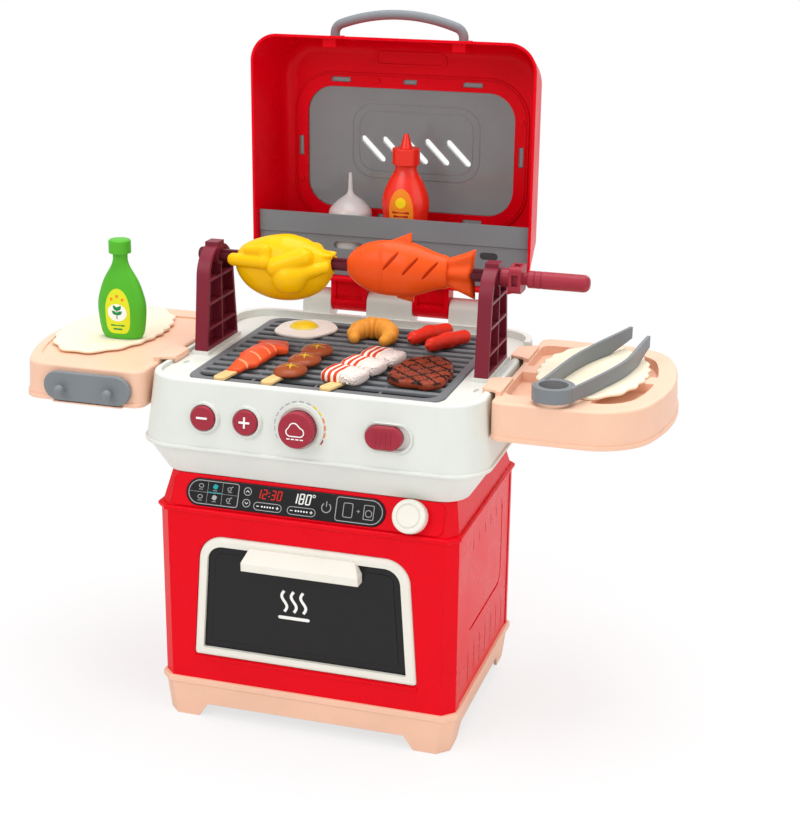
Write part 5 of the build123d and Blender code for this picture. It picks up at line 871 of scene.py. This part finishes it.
# %% Squid
grill_middle = box_mm("grill_grate")[2][:2]
squid_base = box_mm("squid_skewer")[0][2]
squid_root = grill_middle + (-80.5, -94.0)
squid_tip = grill_middle + (-68.5, 16.4)
squid_length = float(np.linalg.norm(squid_tip - squid_root))
squid_along = (squid_tip - squid_root) / squid_length
squid_across = np.array((-squid_along[1], squid_along[0]))
squid_left = ((0, 4), (0.17, 7), (0.31, 9.6), (0.38, 13), (0.50, 12.8), (0.61, 14), (0.70, 11.5),
              (0.76, 12.5), (0.83, 21), (0.90, 12), (0.98, 4.2), (1, 1))
squid_right = ((0, 4), (0.05, 8), (0.12, 8.6), (0.17, 10.4), (0.21, 14.5), (0.30, 14), (0.45, 14),
               (0.56, 13.2), (0.618, 12.7), (0.657, 20.6), (0.78, 14), (0.90, 8), (1, 0.8))
squid_tops = ((0, 5.5), (0.22, 9), (0.46, 11), (0.68, 10.4), (0.75, 8.6), (0.86, 7.8), (1, 3.0))
slit_shares = (0.20, 0.395, 0.56, 0.675)
slit_start, slit_end, slit_fall, slit_bow, slit_depth = 3.5, -13.0, 11.0, 1.6, 1.1
squid_rows, squid_columns = 210, 130


def squid_shape(share, angle):
    """A point of the squid at a share of its length and an angle round it, and its slit mask."""
    tables = (squid_left, squid_right, squid_tops)
    left, right, top = (float(np.interp(share, *zip(*table))) for table in tables)
    c, s = math.cos(angle), math.sin(angle)
    grow = squaring(c, s, 2.6)
    side = c * grow * (left if c > 0 else right) * (1 + 0.02 * math.sin(share * 38))
    high = top / 2 + s * grow * top / 2
    mask = 0.0
    if s > 0:
        for start in slit_shares:
            along = (side - slit_start) / (slit_end - slit_start)
            bow = slit_bow * math.sin(math.pi * min(max(along, 0), 1))
            off = (share - start) * squid_length + slit_fall * along - bow
            if -0.05 < along < 1.05:
                inside = min(1.0, 8 * min(along + 0.05, 1.05 - along))
                mask = max(mask, inside * max(0.0, 1 - abs(off) / 1.5))
    place = squid_root + squid_along * share * squid_length + squid_across * side
    return (place[0], place[1], squid_base + high - slit_depth * mask * (s > 0)), mask


squid_rings, squid_paint = [], []
for share in np.linspace(0, 1, squid_rows):
    ring, masks = zip(*[squid_shape(share, 2 * math.pi * column / squid_columns)
                        for column in range(squid_columns)])
    squid_rings.append(ring)
    squid_paint.append(np.clip(np.array(masks) * 1.6, 0, 1))
net_piece("squid_meat", squid_rings, squid_vinyl, "squid", "squid_plastic", ("squid_skewer",),
          paint=squid_paint, crease=60)
stick("squid_stick", squid_root + squid_along * 12, "squid", "squid_plastic", "squid_skewer")

# %% Mushrooms
mushroom_low, mushroom_high, _ = box_mm("mushroom_skewer")
mushroom_places = [grill_middle + place for place in ((-28.6, -80.0), (-28.0, -45.0), (-28.0, -12.0))]
mushroom_half = (14.8, 18.0)
mushroom_rows, mushroom_columns = 110, 160
star_rays, star_radius, star_depth = 6, 9.0, 0.9


def mushroom_star(a, b):
    """Mask of a six-rayed star cut at a place on a cap."""
    radius, angle = math.hypot(a, b), math.atan2(b, a) + 0.25
    spoke = abs((angle * star_rays / (2 * math.pi) + 0.5) % 1 - 0.5) * 2 * math.pi / star_rays * radius
    if radius > star_radius:
        return 0.0
    return min(1.0, 1.5 * max(0.0, 1 - spoke / (1.7 - 0.12 * radius))) if radius > 0.4 else 1.0


high = mushroom_high[2] - mushroom_low[2]
for index, (x, y) in enumerate(mushroom_places):
    rings, paints = [], []
    for tilt in np.linspace(0.5 * math.pi - 0.01, -0.5 * math.pi + 0.02, mushroom_rows):
        ring, masks = [], []
        for column in range(mushroom_columns):
            angle = 2 * math.pi * column / mushroom_columns
            dome = math.cos(tilt) ** 0.86
            a, b = mushroom_half[0] * dome * math.cos(angle), mushroom_half[1] * dome * math.sin(angle)
            lump = 1 + 0.02 * noise.noise((a * 0.12 + index * 7, b * 0.12, 0.0))
            z = high * 0.46 + (high * 0.54 if tilt > 0 else high * 0.46) * math.sin(tilt)
            mask = mushroom_star(a, b) if tilt > 0 else 0.0
            ring.append((x + a * lump, y + b * lump, mushroom_low[2] + z - star_depth * mask))
            masks.append(mask)
        rings.append(ring)
        paints.append(masks)
    net_piece(f"mushroom_{index + 1}", rings, mushroom_vinyl, "mushrooms", "mushroom_plastic",
              ("mushroom_skewer",), paint=paints, crease=60)
stick("mushroom_stick", mushroom_places[1], "mushrooms", "mushroom_plastic", "mushroom_skewer")

# %% Bacon rolls
bacon_low, bacon_high, _ = box_mm("bacon_skewer")
bacon_places = [grill_middle + place for place in ((24.0, -81.0), (30.4, -48.0), (38.0, -15.0))]
bacon_lean = math.radians(-12.0)
bacon_height = bacon_high[2] - bacon_low[2]
bacon_half_depth = 16.2
stripe_runs = (-14.2, -8.2, -2.2)
wrap_rows, bunch_rows, roll_columns = 90, 70, 96


def roll_point(a, b, z, x, y):
    """From a roll's own lengthwise a and crosswise b to the grill."""
    c, s = math.cos(bacon_lean), math.sin(bacon_lean)
    return (x + a * c - b * s, y + a * s + b * c, bacon_low[2] + max(z, 0.0))


for index, (x, y) in enumerate(bacon_places):
    wrap_rings, stripes = [], []
    for run in np.linspace(0, 1, wrap_rows):
        a = -17.5 + 19.0 * run
        end = min(1.0, (run / 0.10)) if run < 0.10 else min(1.0, (1 - run) / 0.04 + 0.6)
        puff = math.sqrt(max(1 - (1 - end) ** 2, 0.0004))
        ring, masks = [], []
        for column in range(roll_columns):
            angle = 2 * math.pi * column / roll_columns
            c, s = math.cos(angle), math.sin(angle)
            grow = squaring(c, s, 3.2)
            b = bacon_half_depth * c * grow * (0.8 + 0.2 * puff)
            z = bacon_height * 0.49 + bacon_height * 0.49 * s * grow * (0.55 + 0.45 * puff)
            wobble = 0.5 * noise.noise((a * 0.2, b * 0.12 + index * 5, 3.0))
            off_stripe = min(abs(a - centre + wobble * 2) for centre in stripe_runs)
            stripe = max(0.0, min(1.0, 3.2 - 1.6 * off_stripe))
            ring.append(roll_point(a, b, z, x, y))
            masks.append(stripe if s > -0.7 else 0.0)
        wrap_rings.append(ring)
        stripes.append(masks)
    net_piece(f"bacon_wrap_{index + 1}", wrap_rings, bacon_vinyl, "bacon", "bacon_plastic", ("bacon_skewer",),
              paint=stripes, crease=60)
    bunch = []
    for run in np.linspace(0, 1, bunch_rows):
        a = 0.5 + 17.5 * run
        swell = math.sqrt(max(1 - max((run - 0.72) / 0.28, 0) ** 2, 0.0004))
        ring = []
        for column in range(roll_columns):
            angle = 2 * math.pi * column / roll_columns
            c, s = math.cos(angle), math.sin(angle)
            grow = squaring(c, s, 2.6)
            lump = 0.97 + 0.13 * noise.noise((a * 0.55, c * 6.0, s * 4.0 + index * 9.0))
            lump += 0.08 * noise.noise((a * 1.1, c * 12.0, s * 8.0 + index * 5.0))
            b = 0.94 * bacon_half_depth * c * grow * lump * (0.25 + 0.75 * swell)
            z = bacon_height * 0.48 * (1 + s * grow * lump * 0.94 * (0.35 + 0.65 * swell))
            ring.append(roll_point(a, b, z, x, y))
        bunch.append(ring)
    net_piece(f"enoki_bunch_{index + 1}", bunch, enoki_vinyl, "bacon", "bacon_plastic", ("bacon_skewer",),
              crease=60)
stick("bacon_stick", bacon_places[0], "bacon", "bacon_plastic", "bacon_skewer")
print("three skewers")

# %% [markdown]
# ## Steak
# A seared chop: an uneven outline, a meaty surface, and a lattice of dark grill marks pressed in.

# %% Steak
steak_low, steak_high, _ = box_mm("steak")
steak_place = grill_middle + (82.0, -40.0)
steak_half = (26.5, 47.0)
steak_outline_shares = ((-0.92, 0.21), (-0.72, 0.68), (-0.38, 0.85), (-0.04, 1.0), (0.34, 0.89),
                        (0.87, 0.28), (1.0, -0.28), (0.94, -0.79), (0.53, -1.0), (0.23, -0.84),
                        (-0.08, -0.91), (-0.53, -0.87), (-0.85, -0.72), (-0.96, -0.30))
steak_height = steak_high[2] - steak_low[2] - 0.6
mark_spacing, mark_half_width = 14.0, 1.7
steak_spots = [(steak_half[0] * a, steak_half[1] * b) for a, b in steak_outline_shares]
steak_bearings = sorted((math.atan2(b, a) % (2 * math.pi), math.hypot(a, b)) for a, b in steak_spots)


def steak_outline(angle):
    """Radius at an angle, smoothed between the outline's corners."""
    turn = angle % (2 * math.pi)
    total, weight = 0.0, 0.0
    ring = [(a - 2 * math.pi, r) for a, r in steak_bearings] + steak_bearings
    ring += [(a + 2 * math.pi, r) for a, r in steak_bearings]
    bearings, reaches = zip(*ring)
    for shift in (-0.16, -0.08, 0.0, 0.08, 0.16):
        share = math.exp(-(shift / 0.12) ** 2)
        total += share * float(np.interp(turn + shift, bearings, reaches))
        weight += share
    return total / weight * (1 + 0.02 * noise.noise((math.cos(angle) * 5, math.sin(angle) * 5, 2.0)))


def grill_mark(a, b):
    """Mask of the crossed grill bars."""
    wave = 1.4 * noise.noise((a * 0.05, b * 0.05, 4.0))
    first = abs((a * 0.77 - b * 0.64 + wave + 6.0) % mark_spacing - mark_spacing / 2)
    second = abs((a * 0.71 + b * 0.71 + wave + 3.0) % mark_spacing - mark_spacing / 2)
    return max(0.0, 1 - first / mark_half_width, 1 - second / mark_half_width)


def steak_top(a, b):
    """Height of the meat's grain, less the pressed marks."""
    meat = 0.7 * noise.noise((a * 0.22, b * 0.22, 6.0)) + 0.9 * noise.noise((a * 0.55, b * 0.55, 8.0))
    return meat - 0.9 * min(1.0, 1.6 * grill_mark(a, b)) - 0.5


steak_net = pat((*steak_place, steak_low[2]), steak_outline, steak_height, rim=0.55,
                rows=110, columns=320, top=steak_top)
steak_marks = [min(1.0, 2.5 * grill_mark(px - steak_place[0], py - steak_place[1]))
               if pz > steak_low[2] + 0.55 * steak_height else 0.0 for px, py, pz in steak_net.reshape(-1, 3)]
net_piece("seared_steak", steak_net, steak_vinyl, "steak", "steak_plastic", ("steak",), paint=steak_marks,
          crease=180)

# %% [markdown]
# ## Flatbreads
# Thin, with a wavy pie-crust edge. The top undulates by less than a millimetre.


# %% Flatbreads
scallops, scallop_depth = 18, 0.045


def bread(name, node, body):
    """A flatbread in the place of its node."""
    low, high, middle = box_mm(node)
    half = (high - low) / 2

    def outline(angle):
        wave = 1 - scallop_depth / 2 * (1 - math.cos(scallops * angle))
        return wave * superellipse(half[0], half[1], 2.0)(angle)

    def top(a, b):
        return 0.45 * noise.noise((a * 0.05, b * 0.05, 5.0)) - 0.25

    net_piece(name, pat((middle[0], middle[1], low[2]), outline, high[2] - low[2], rows=40, columns=432,
                        top=top), bread_vinyl, body, "bread_plastic", (node,), crease=180)


bread("left_flatbread_round", "left_flatbread", "left_bread")
bread("right_flatbread_round", "right_flatbread", "right_bread")
print("two flatbreads")

# %% [markdown]
# ## Bottles
# The sauce bottles are blown from soft polyethylene, which is satin and lets a little light in. Their
# shells come from the frame. Their labels are thin prints that follow the skin: every point of a label
# is dropped onto the bottle from its front. Bars, a sun, dots and a sprig make up the print.

# %% Bottle finishes
red_bottle = plastic("red_blown_polyethylene", "#EF2D18", 0.26, edge=0.0, glow=0.08, gloss=0.4)
green_bottle = plastic("green_blown_polyethylene", "#55B52F", 0.34, edge=0.0, glow=0.08)
dress({"red_sauce_bottle": red_bottle, "red_bottle_cap": red_bottle, "green_sauce_bottle": green_bottle,
       "clear_sauce_bottle": milky_bottle})


# %% Print finishes
def print_ink(name, code):
    """Pad-printed ink: a thin satin film of one colour."""
    return plastic(name, code, 0.42, ripple=3.0, depth=0.005, edge=0.0, mottle=0.02)


white_ink = print_ink("white_print", "#F6F6F2")
grey_ink = print_ink("grey_print", "#B5B2B8")
line_ink = print_ink("dim_grey_print", "#ABABAD")
yellow_ink = print_ink("yellow_print", "#F2D21A")
orange_ink = print_ink("orange_print", "#F08A22")
red_ink = print_ink("red_print", "#D8271C")
dark_red_ink = print_ink("dark_red_print", "#A81E22")
teal_ink = print_ink("teal_print", "#1FA6AB")
lime_ink = print_ink("lime_print", "#DDE22C")
leaf_ink = print_ink("leaf_green_print", "#1D8B4A")


def ink_piece(name, ink, material, body, slot):
    """Everything drawn with one ink on one body, as a piece."""
    return piece(name, ink[0], ink[1], material, body, slot, crease=50)


# %% Labels
def label_outline(half_width, high, low, taper=0.12, steps=64):
    """A label with a round top and a squarer foot that narrows a little."""
    outline = []
    for step in range(steps):
        angle = 2 * math.pi * step / steps
        c, s = math.cos(angle), math.sin(angle)
        if s >= 0:
            outline.append((half_width * c, high * s))
        else:
            across = math.copysign(abs(c) ** 0.4, c) * half_width * (1 - taper * abs(s))
            outline.append((across, -low * abs(s) ** 0.4))
    return outline


def leaf(x, y, length, lean, plump=0.42, steps=10):
    """Outline of a pointed leaf that starts at a place and leans by an angle in degrees."""
    turn = math.radians(lean)
    side = [(length * step / steps, plump * length * math.sin(math.pi * step / steps) / 1.6)
            for step in range(steps + 1)]
    line = side + [(a, -b) for a, b in reversed(side[1:-1])]
    return [(x + a * math.cos(turn) - b * math.sin(turn), y + a * math.sin(turn) + b * math.cos(turn))
            for a, b in line]


front = (0, -1, 0)
over_ground, over_oval = 0.15, 0.3


def bottle_front(node, height):
    """The skin of a bottle's front, measured from a height above its foot."""
    low, _, middle = box_mm(node)
    return cast_surface(node, (middle[0], low[1], low[2] + height), front)


red_side = bottle_front("red_sauce_bottle", 51.0)
ground, bars, dots = ([], []), ([], []), ([], [])
blot(ground, red_side, label_outline(12.2, 22.0, 24.0), rings=10)
blot(dots, red_side, arc(0, 8.5, 5.2, 0, 345, 23), rings=4, lift=over_ground)
for row, half in ((-1.0, 8.6), (-4.8, 7.4)):
    blot(bars, red_side, round_bar(0, row, 2 * half, 2.2), rings=4, lift=over_ground)
ink_piece("red_label_ground", ground, orange_ink, "red_bottle", "orange_plastic")
ink_piece("red_label_sun", dots, yellow_ink, "red_bottle", "yellow_plastic")
ink_piece("red_label_bars", bars, dark_red_ink, "red_bottle", "red_plastic")

green_side = bottle_front("green_sauce_bottle", 27.0)
ground, oval, leaves, dots = ([], []), ([], []), ([], []), ([], [])
blot(ground, green_side, label_outline(12.6, 21.8, 21.5), rings=10)
blot(oval, green_side, arc(0, -1.0, 9.6, 0, 352.5, 47, 0.86), rings=7, lift=over_ground)
stroke(leaves, green_side, ruled((0, -7.0), (0.4, 4.6)), 0.9, lift=over_oval)
for x, y, lean in ((0.1, -3.0, 35), (0.1, -3.0, 145), (0.3, 1.0, 50), (0.3, 1.0, 130)):
    blot(leaves, green_side, leaf(x, y, 6.4, lean), rings=3, lift=over_oval)
for row, half in ((-13.4, 7.0), (-17.0, 4.6)):
    blot(leaves, green_side, round_bar(0, row, 2 * half, 1.6), rings=3, lift=over_ground)
for x, y in ((-5.6, 11.6), (0, 14.6), (5.6, 11.6)):
    blot(dots, green_side, arc(x, y, 1.5, 0, 330, 11), rings=2, lift=over_ground)
ink_piece("green_label_ground", ground, lime_ink, "green_bottle", "yellow_plastic")
ink_piece("green_label_oval", oval, white_ink, "green_bottle", "white_plastic")
ink_piece("green_label_sprig", leaves, leaf_ink, "green_bottle", "green_plastic")
ink_piece("green_label_dots", dots, orange_ink, "green_bottle", "orange_plastic")
print("two labels")

# %% [markdown]
# ## Marks on the controls
# The marks are pad print, a film of ink that stands off the plastic by less than half a millimetre.
# Their places are measured from each control's own middle, and the wall's lean comes from the joints.

# %% Buttons, dial and scale
wall_out = np.array(joints["heat_dial_turn"]["axis"], float)
for name, node, body, lines in (
        ("minus_sign", "minus_button", "minus_button", [((-5, 0), (5, 0))]),
        ("plus_sign", "plus_button", "plus_button", [((-5, 0), (5, 0)), ((0, -5), (0, 5))])):
    cap = cast_surface(node, box_mm(node)[2], wall_out)
    ink = ([], [])
    for line in lines:
        stroke(ink, cap, ruled(*line, steps=12), 1.7)
    ink_piece(name, ink, white_ink, body, "white_plastic")

dial_middle = np.array(joints["heat_dial_turn"]["pos_m"]) / mm
dial_face = cast_surface("heat_dial", dial_middle, wall_out)
smoke = arc(-4.2, -1.4, 3.7, 270, 125) + arc(-0.9, 2.2, 4.4, 165, 40) + arc(4.4, -1.3, 3.8, 80, -90)
ink = ([], [])
stroke(ink, dial_face, smoke, 0.95, closed=True)
for index in range(4):
    dash = -7.4 + 4.1 * index
    stroke(ink, dial_face, ruled((dash, -7.6), (dash + 2.9, -7.6), steps=3), 1.0)
ink_piece("dial_smoke_sign", ink, white_ink, "heat_dial", "white_plastic")

wall = cast_surface("tub_upper_shell", dial_middle, wall_out)
scale_radius, scale_start, scale_end, half_dash = 23.2, 204.0, -28.0, 5.4
scale_inks = {"grey": grey_ink, "yellow": yellow_ink, "orange": orange_ink, "red": dark_red_ink}
scale_marks = {colour: ([], []) for colour in scale_inks}
scale_colours = ["grey"] * 9 + ["yellow"] * 2 + ["orange"] * 3 + ["red"]
for index, colour in enumerate(scale_colours):
    angle = scale_start + (scale_end - scale_start) * index / (len(scale_colours) - 1)
    stroke(scale_marks[colour], wall, arc(0, 0, scale_radius, angle + half_dash, angle - half_dash, 4), 1.1)
for colour, material in scale_inks.items():
    ink_piece(f"heat_scale_{colour}", scale_marks[colour], material, "stand", f"{colour}_plastic")

# %% Raised rims round the controls
rims, rim_lift = ([], []), 0.5
stroke(rims, wall, arc(0, 0, 18.9, 0, 354, 59), 1.8, closed=True, lift=rim_lift)
for node in ("minus_button", "plus_button"):
    side = box_mm(node)[2][0] - dial_middle[0]
    stroke(rims, wall, arc(side, 0, 12.9, 0, 354, 59), 1.5, closed=True, lift=rim_lift)
switch_low, switch_high, switch_middle = box_mm("slide_switch")
switch_travel = joints["switch_slide"]["range_m"][1] / mm
switch_width = switch_high[0] - switch_low[0] + switch_travel + 3.6
switch_side = switch_middle[0] + switch_travel / 2 - dial_middle[0]
stroke(rims, wall, round_bar(switch_side, 0, switch_width, 25.2, steps=10), 1.4, closed=True, lift=rim_lift)
ink_piece("control_rims", rims, white_abs, "stand", "white_plastic")
print("control marks")

# %% [markdown]
# ## The display
# The black plate carries a printed make-believe display: little pictures, clock digits and pill
# frames. The digits are built from seven bars, as on a real clock, and plain dots stand in the pills.

# %% Display
panel_out = np.array(joints["oven_knob_turn"]["axis"], float)
panel = cast_surface("display_plate", box_mm("display_plate")[2], panel_out)
segments = {"a": ((0, 2), (1, 2)), "b": ((1, 2), (1, 1)), "c": ((1, 1), (1, 0)), "d": ((0, 0), (1, 0)),
            "e": ((0, 1), (0, 0)), "f": ((0, 2), (0, 1)), "g": ((0, 1), (1, 1))}
digit_segments = {"0": "abcdef", "1": "bc", "2": "abged", "3": "abgcd", "8": "abcdefg"}
digit_width, digit_lean, digit_weight = 0.42, 0.06, 0.13


def digit(ink, x, y, height, number):
    """A leaning seven-bar digit with its lower left corner at a place."""
    for name in digit_segments[number]:
        (ax, ay), (bx, by) = segments[name]
        corners = [(x + px * height * digit_width + py * height * digit_lean, y + py * height / 2)
                   for px, py in ((ax, ay), (bx, by))]
        stroke(ink, panel, ruled(*corners, steps=2), height * digit_weight)


def half_pill(left, right, half, corner, flip):
    """Outline of a box with one round end."""
    line = arc(left + half, 0, half, 90, 270, 16)
    line += arc(right - corner, corner - half, corner, -90, 0, 4)
    line += arc(right - corner, half - corner, corner, 0, 90, 4)
    return [(left + right - a, b) for a, b in line] if flip else line


lines, whites, reds, teals = ([], []), ([], []), ([], []), ([], [])
stroke(lines, panel, half_pill(-91.0, -43.5, 10.4, 2.4, False), 0.7, closed=True)
stroke(lines, panel, half_pill(48.5, 91.0, 10.4, 2.4, True), 0.7, closed=True)
for a in (-73.0, -59.0):
    stroke(lines, panel, ruled((a, -9.6), (a, 9.6)), 0.25)
stroke(lines, panel, ruled((-90, 0), (-44.5, 0)), 0.25)
for a, b in ((-35.0, 5.2), (-35.0, -5.2)):
    stroke(lines, panel, arc(a, b, 3.4, 0, 345, 23), 0.7, closed=True)
    tip = math.copysign(1.0, b)
    stroke(whites, panel, [(a - 1.5, b - 0.7 * tip), (a, b + 0.8 * tip), (a + 1.5, b - 0.7 * tip)], 0.6)
pill_height = -6.6
for a in (-14.8, 17.0):
    stroke(lines, panel, round_bar(a, pill_height, 26.0, 6.8, steps=8), 0.6, closed=True)
    for start, end in ((a - 10.5, a - 8.0), (a + 8.0, a + 10.5)):
        stroke(whites, panel, [(start, pill_height), (end, pill_height)], 0.7)
    stroke(whites, panel, [(a + 9.25, -7.85), (a + 9.25, -5.35)], 0.7)
    for step in range(5):
        blot(whites, panel, arc(a - 5.2 + 2.6 * step, pill_height, 0.8, 0, 330, 11))
for place, number in zip((-26.5, -20.8, -12.6, -6.9), "1230"):
    digit(reds, place, 0.6, 7.8, number)
for b in (2.9, 6.1):
    blot(reds, panel, arc(-14.6, b, 0.7, 0, 330, 11))
for place, number in zip((7.6, 13.8, 20.0), "180"):
    digit(whites, place, 0.0, 8.6, number)
stroke(whites, panel, arc(27.2, 8.0, 1.2, 0, 330, 11), 0.6, closed=True)
stroke(lines, panel, arc(39.5, -0.6, 4.2, 125, 415, 24), 0.8)
stroke(lines, panel, [(39.5, 0.4), (39.5, 5.0)], 0.8)
stroke(lines, panel, round_bar(59.5, -0.4, 8.4, 12.4, 1.4), 0.6, closed=True)
stroke(lines, panel, [(67.6, -0.4), (70.6, -0.4)], 0.5)
stroke(lines, panel, [(69.1, -1.9), (69.1, 1.1)], 0.5)
stroke(lines, panel, round_bar(78.6, -0.4, 9.0, 12.4, 0.6), 0.6, closed=True)
stroke(lines, panel, arc(78.6, -1.4, 2.9, 0, 345, 23), 0.6, closed=True)
icon_places = [(a, b) for b in (5.6, -4.2) for a in (-79.6, -66.0, -51.5)]
for index, (a, b) in enumerate(icon_places):
    ink = teals if index == 1 else lines
    if index % 3 == 0:
        stroke(ink, panel, arc(a, b, 2.2, 0, 345, 15, 0.75), 0.55, closed=True)
    elif index % 3 == 1:
        blot(ink, panel, leaf(a - 2.4, b - 0.8, 5.4, 22, 0.7))
    else:
        stroke(ink, panel, arc(a - 1.0, b - 0.6, 1.6, 0, 345, 15), 0.55, closed=True)
        stroke(ink, panel, [(a + 0.2, b + 0.5), (a + 2.4, b + 2.2)], 0.6)
    stroke(lines, panel, [(a - 1.9, b - 3.3), (a + 1.9, b - 3.3)], 0.5)
stroke(teals, panel, ruled((-72.6, 0.4), (-59.4, 0.4)), 0.8)
ink_piece("display_lines", lines, line_ink, "stand", "grey_plastic")
ink_piece("display_white_marks", whites, white_ink, "stand", "white_plastic")
ink_piece("display_red_digits", reds, red_ink, "stand", "red_plastic")
ink_piece("display_teal_marks", teals, teal_ink, "stand", "green_plastic")
print("display")

# %% [markdown]
# ## Oven door and window
# The black glass carries a plain sign for heat, three waves over a bar. The lid's window has faint
# raised lines, as embossed styrene has, drawn in a lighter grey that is a painted highlight for the light
# they catch.

# %% Heat sign
glass_middle = box_mm("door_glass")[2]
glass = cast_surface("door_glass", glass_middle + (-9.0, 0, 2.0), front)
ink = ([], [])
for column in (-9.0, 0.0, 9.0):
    wave = [(column + 2.4 * math.sin(2 * math.pi * step / 24), -6.5 + 20.0 * step / 24) for step in range(25)]
    stroke(ink, glass, wave, 2.6)
blot(ink, glass, round_bar(0, -12.5, 30.0, 3.0))
ink_piece("heat_sign", ink, white_ink, "oven_door", "white_plastic")

# %% Embossed lines of the window
window_middle = box_mm("lid_window")[2]
window = cast_surface("lid_window", window_middle, front)
emboss = ([], [])
stroke(emboss, window, round_bar(6.0, 8.0, 132.0, 74.0, 22.0, steps=10), 1.0, closed=True)
stroke(emboss, window, round_bar(6.0, 8.0, 118.0, 60.0, 16.0, steps=10), 0.7, closed=True)
# The raised lines are the window's own styrene, drawn lighter and more opaque as a painted highlight.
window_emboss_highlight = clear_plastic("smoke_grey_clear_emboss_highlight", "#8E9091", 0.85, 0.2)
ink_piece("window_embossed_lines", emboss, window_emboss_highlight, "lid", "smoke_clear")
print("door sign and window lines")

# %% [markdown]
# ## The studio
# A white sweep, soft lamps and a camera where the photographer stood. The floor and the world look
# white to the camera and to reflections, while the light that reaches the object stays moderate, so
# that colours render as they are written.

# %% Camera
camera_data = bpy.data.cameras.new("camera")
camera = bpy.data.objects.new("camera", camera_data)
bpy.context.scene.collection.objects.link(camera)
bpy.context.scene.camera = camera
camera_turn, camera_height, camera_roll = math.radians(16.7), math.radians(17.9), math.radians(0.7)
image_height, focal_pixels, sensor_height = 814, 1625.4, 36.0
camera_data.sensor_fit = "VERTICAL"
camera_data.sensor_height = sensor_height
camera_data.lens = focal_pixels / image_height * sensor_height
back = Vector((math.sin(camera_turn) * math.cos(camera_height),
               -math.cos(camera_turn) * math.cos(camera_height), math.sin(camera_height)))
camera.location = (0.46095, -1.4020, 0.7436)
camera.rotation_euler = back.to_track_quat("Z", "Y").to_euler()
camera.rotation_euler.rotate_axis("Z", camera_roll)
bpy.context.scene.view_settings.view_transform = "Standard"

# %% World, floor and lamps
world = bpy.data.worlds.new("studio")
bpy.context.scene.world = world
tree = blank_tree(world)
path = add(tree, "LightPath")
seen = add(tree, "Math", {0: path.outputs["Is Camera Ray"], 1: path.outputs["Is Transmission Ray"]},
           operation="MAXIMUM").outputs["Value"]
gloss_share = 0.35
mirrored = add(tree, "Math", {0: path.outputs["Is Glossy Ray"], 1: gloss_share}, operation="MULTIPLY")
seen = add(tree, "Math", {0: seen, 1: mirrored.outputs["Value"]}, operation="MAXIMUM").outputs["Value"]
fill_light = add(tree, "Background", {"Color": (1, 1, 1, 1), "Strength": 0.55})
white_light = add(tree, "Background", {"Color": (1, 1, 1, 1), "Strength": 1.0})
sky = add(tree, "MixShader", {"Fac": seen, 1: fill_light.outputs[0], 2: white_light.outputs[0]})
add(tree, "OutputWorld", {"Surface": sky.outputs[0]})

floor_material = bpy.data.materials.new("white_paper_sweep")
tree = blank_tree(floor_material)
path = add(tree, "LightPath")
mirrored = add(tree, "Math", {0: path.outputs["Is Glossy Ray"], 1: gloss_share}, operation="MULTIPLY")
seen = add(tree, "Math", {0: path.outputs["Is Camera Ray"], 1: mirrored.outputs["Value"]},
           operation="MAXIMUM").outputs["Value"]
seen = add(tree, "Math", {0: seen, 1: path.outputs["Is Transmission Ray"]},
           operation="MAXIMUM").outputs["Value"]
spot = add(tree, "TexCoord").outputs["Object"]
away = add(tree, "VectorMath", {0: spot}, operation="LENGTH").outputs["Value"]
share = add(tree, "MapRange", {"Value": away, "From Min": 0.35, "From Max": 1.2, "To Min": 0.72,
                               "To Max": 1.0}).outputs["Result"]
half_seen = add(tree, "Math", {0: seen, 1: share}, operation="MULTIPLY").outputs["Value"]
paper = add(tree, "BsdfDiffuse", {"Color": (0.86, 0.86, 0.86, 1)})
glow = add(tree, "Emission", {"Color": (1, 1, 1, 1), "Strength": 1.0})
sweep = add(tree, "MixShader", {"Fac": half_seen, 1: paper.outputs[0], 2: glow.outputs[0]})
add(tree, "OutputMaterial", {"Surface": sweep.outputs[0]})
floor_mesh = bpy.data.meshes.new("floor")
floor_half = 30.0
floor_mesh.from_pydata([(-floor_half, -floor_half, 0), (floor_half, -floor_half, 0),
                        (floor_half, floor_half, 0), (-floor_half, floor_half, 0)], [], [(0, 1, 2, 3)])
floor = bpy.data.objects.new("floor", floor_mesh)
bpy.context.scene.collection.objects.link(floor)
floor_mesh.materials.append(floor_material)


def lamp(name, place, target, size, power):
    """A square soft box that faces a target."""
    data = bpy.data.lights.new(name, "AREA")
    data.shape = "SQUARE"
    data.size = size
    data.energy = power
    made = bpy.data.objects.new(name, data)
    bpy.context.scene.collection.objects.link(made)
    made.location = place
    made.rotation_euler = (Vector(place) - Vector(target)).to_track_quat("Z", "Y").to_euler()
    return made


middle = (0, 0, 0.3)
lamp("key", (-0.9, -1.6, 1.7), middle, 1.2, 16)
lamp("fill", (1.5, -0.9, 1.0), middle, 1.4, 8)
lamp("top", (0.0, 0.1, 2.0), middle, 1.4, 24)
lamp("rim", (0.6, 1.6, 1.4), middle, 1.2, 8)
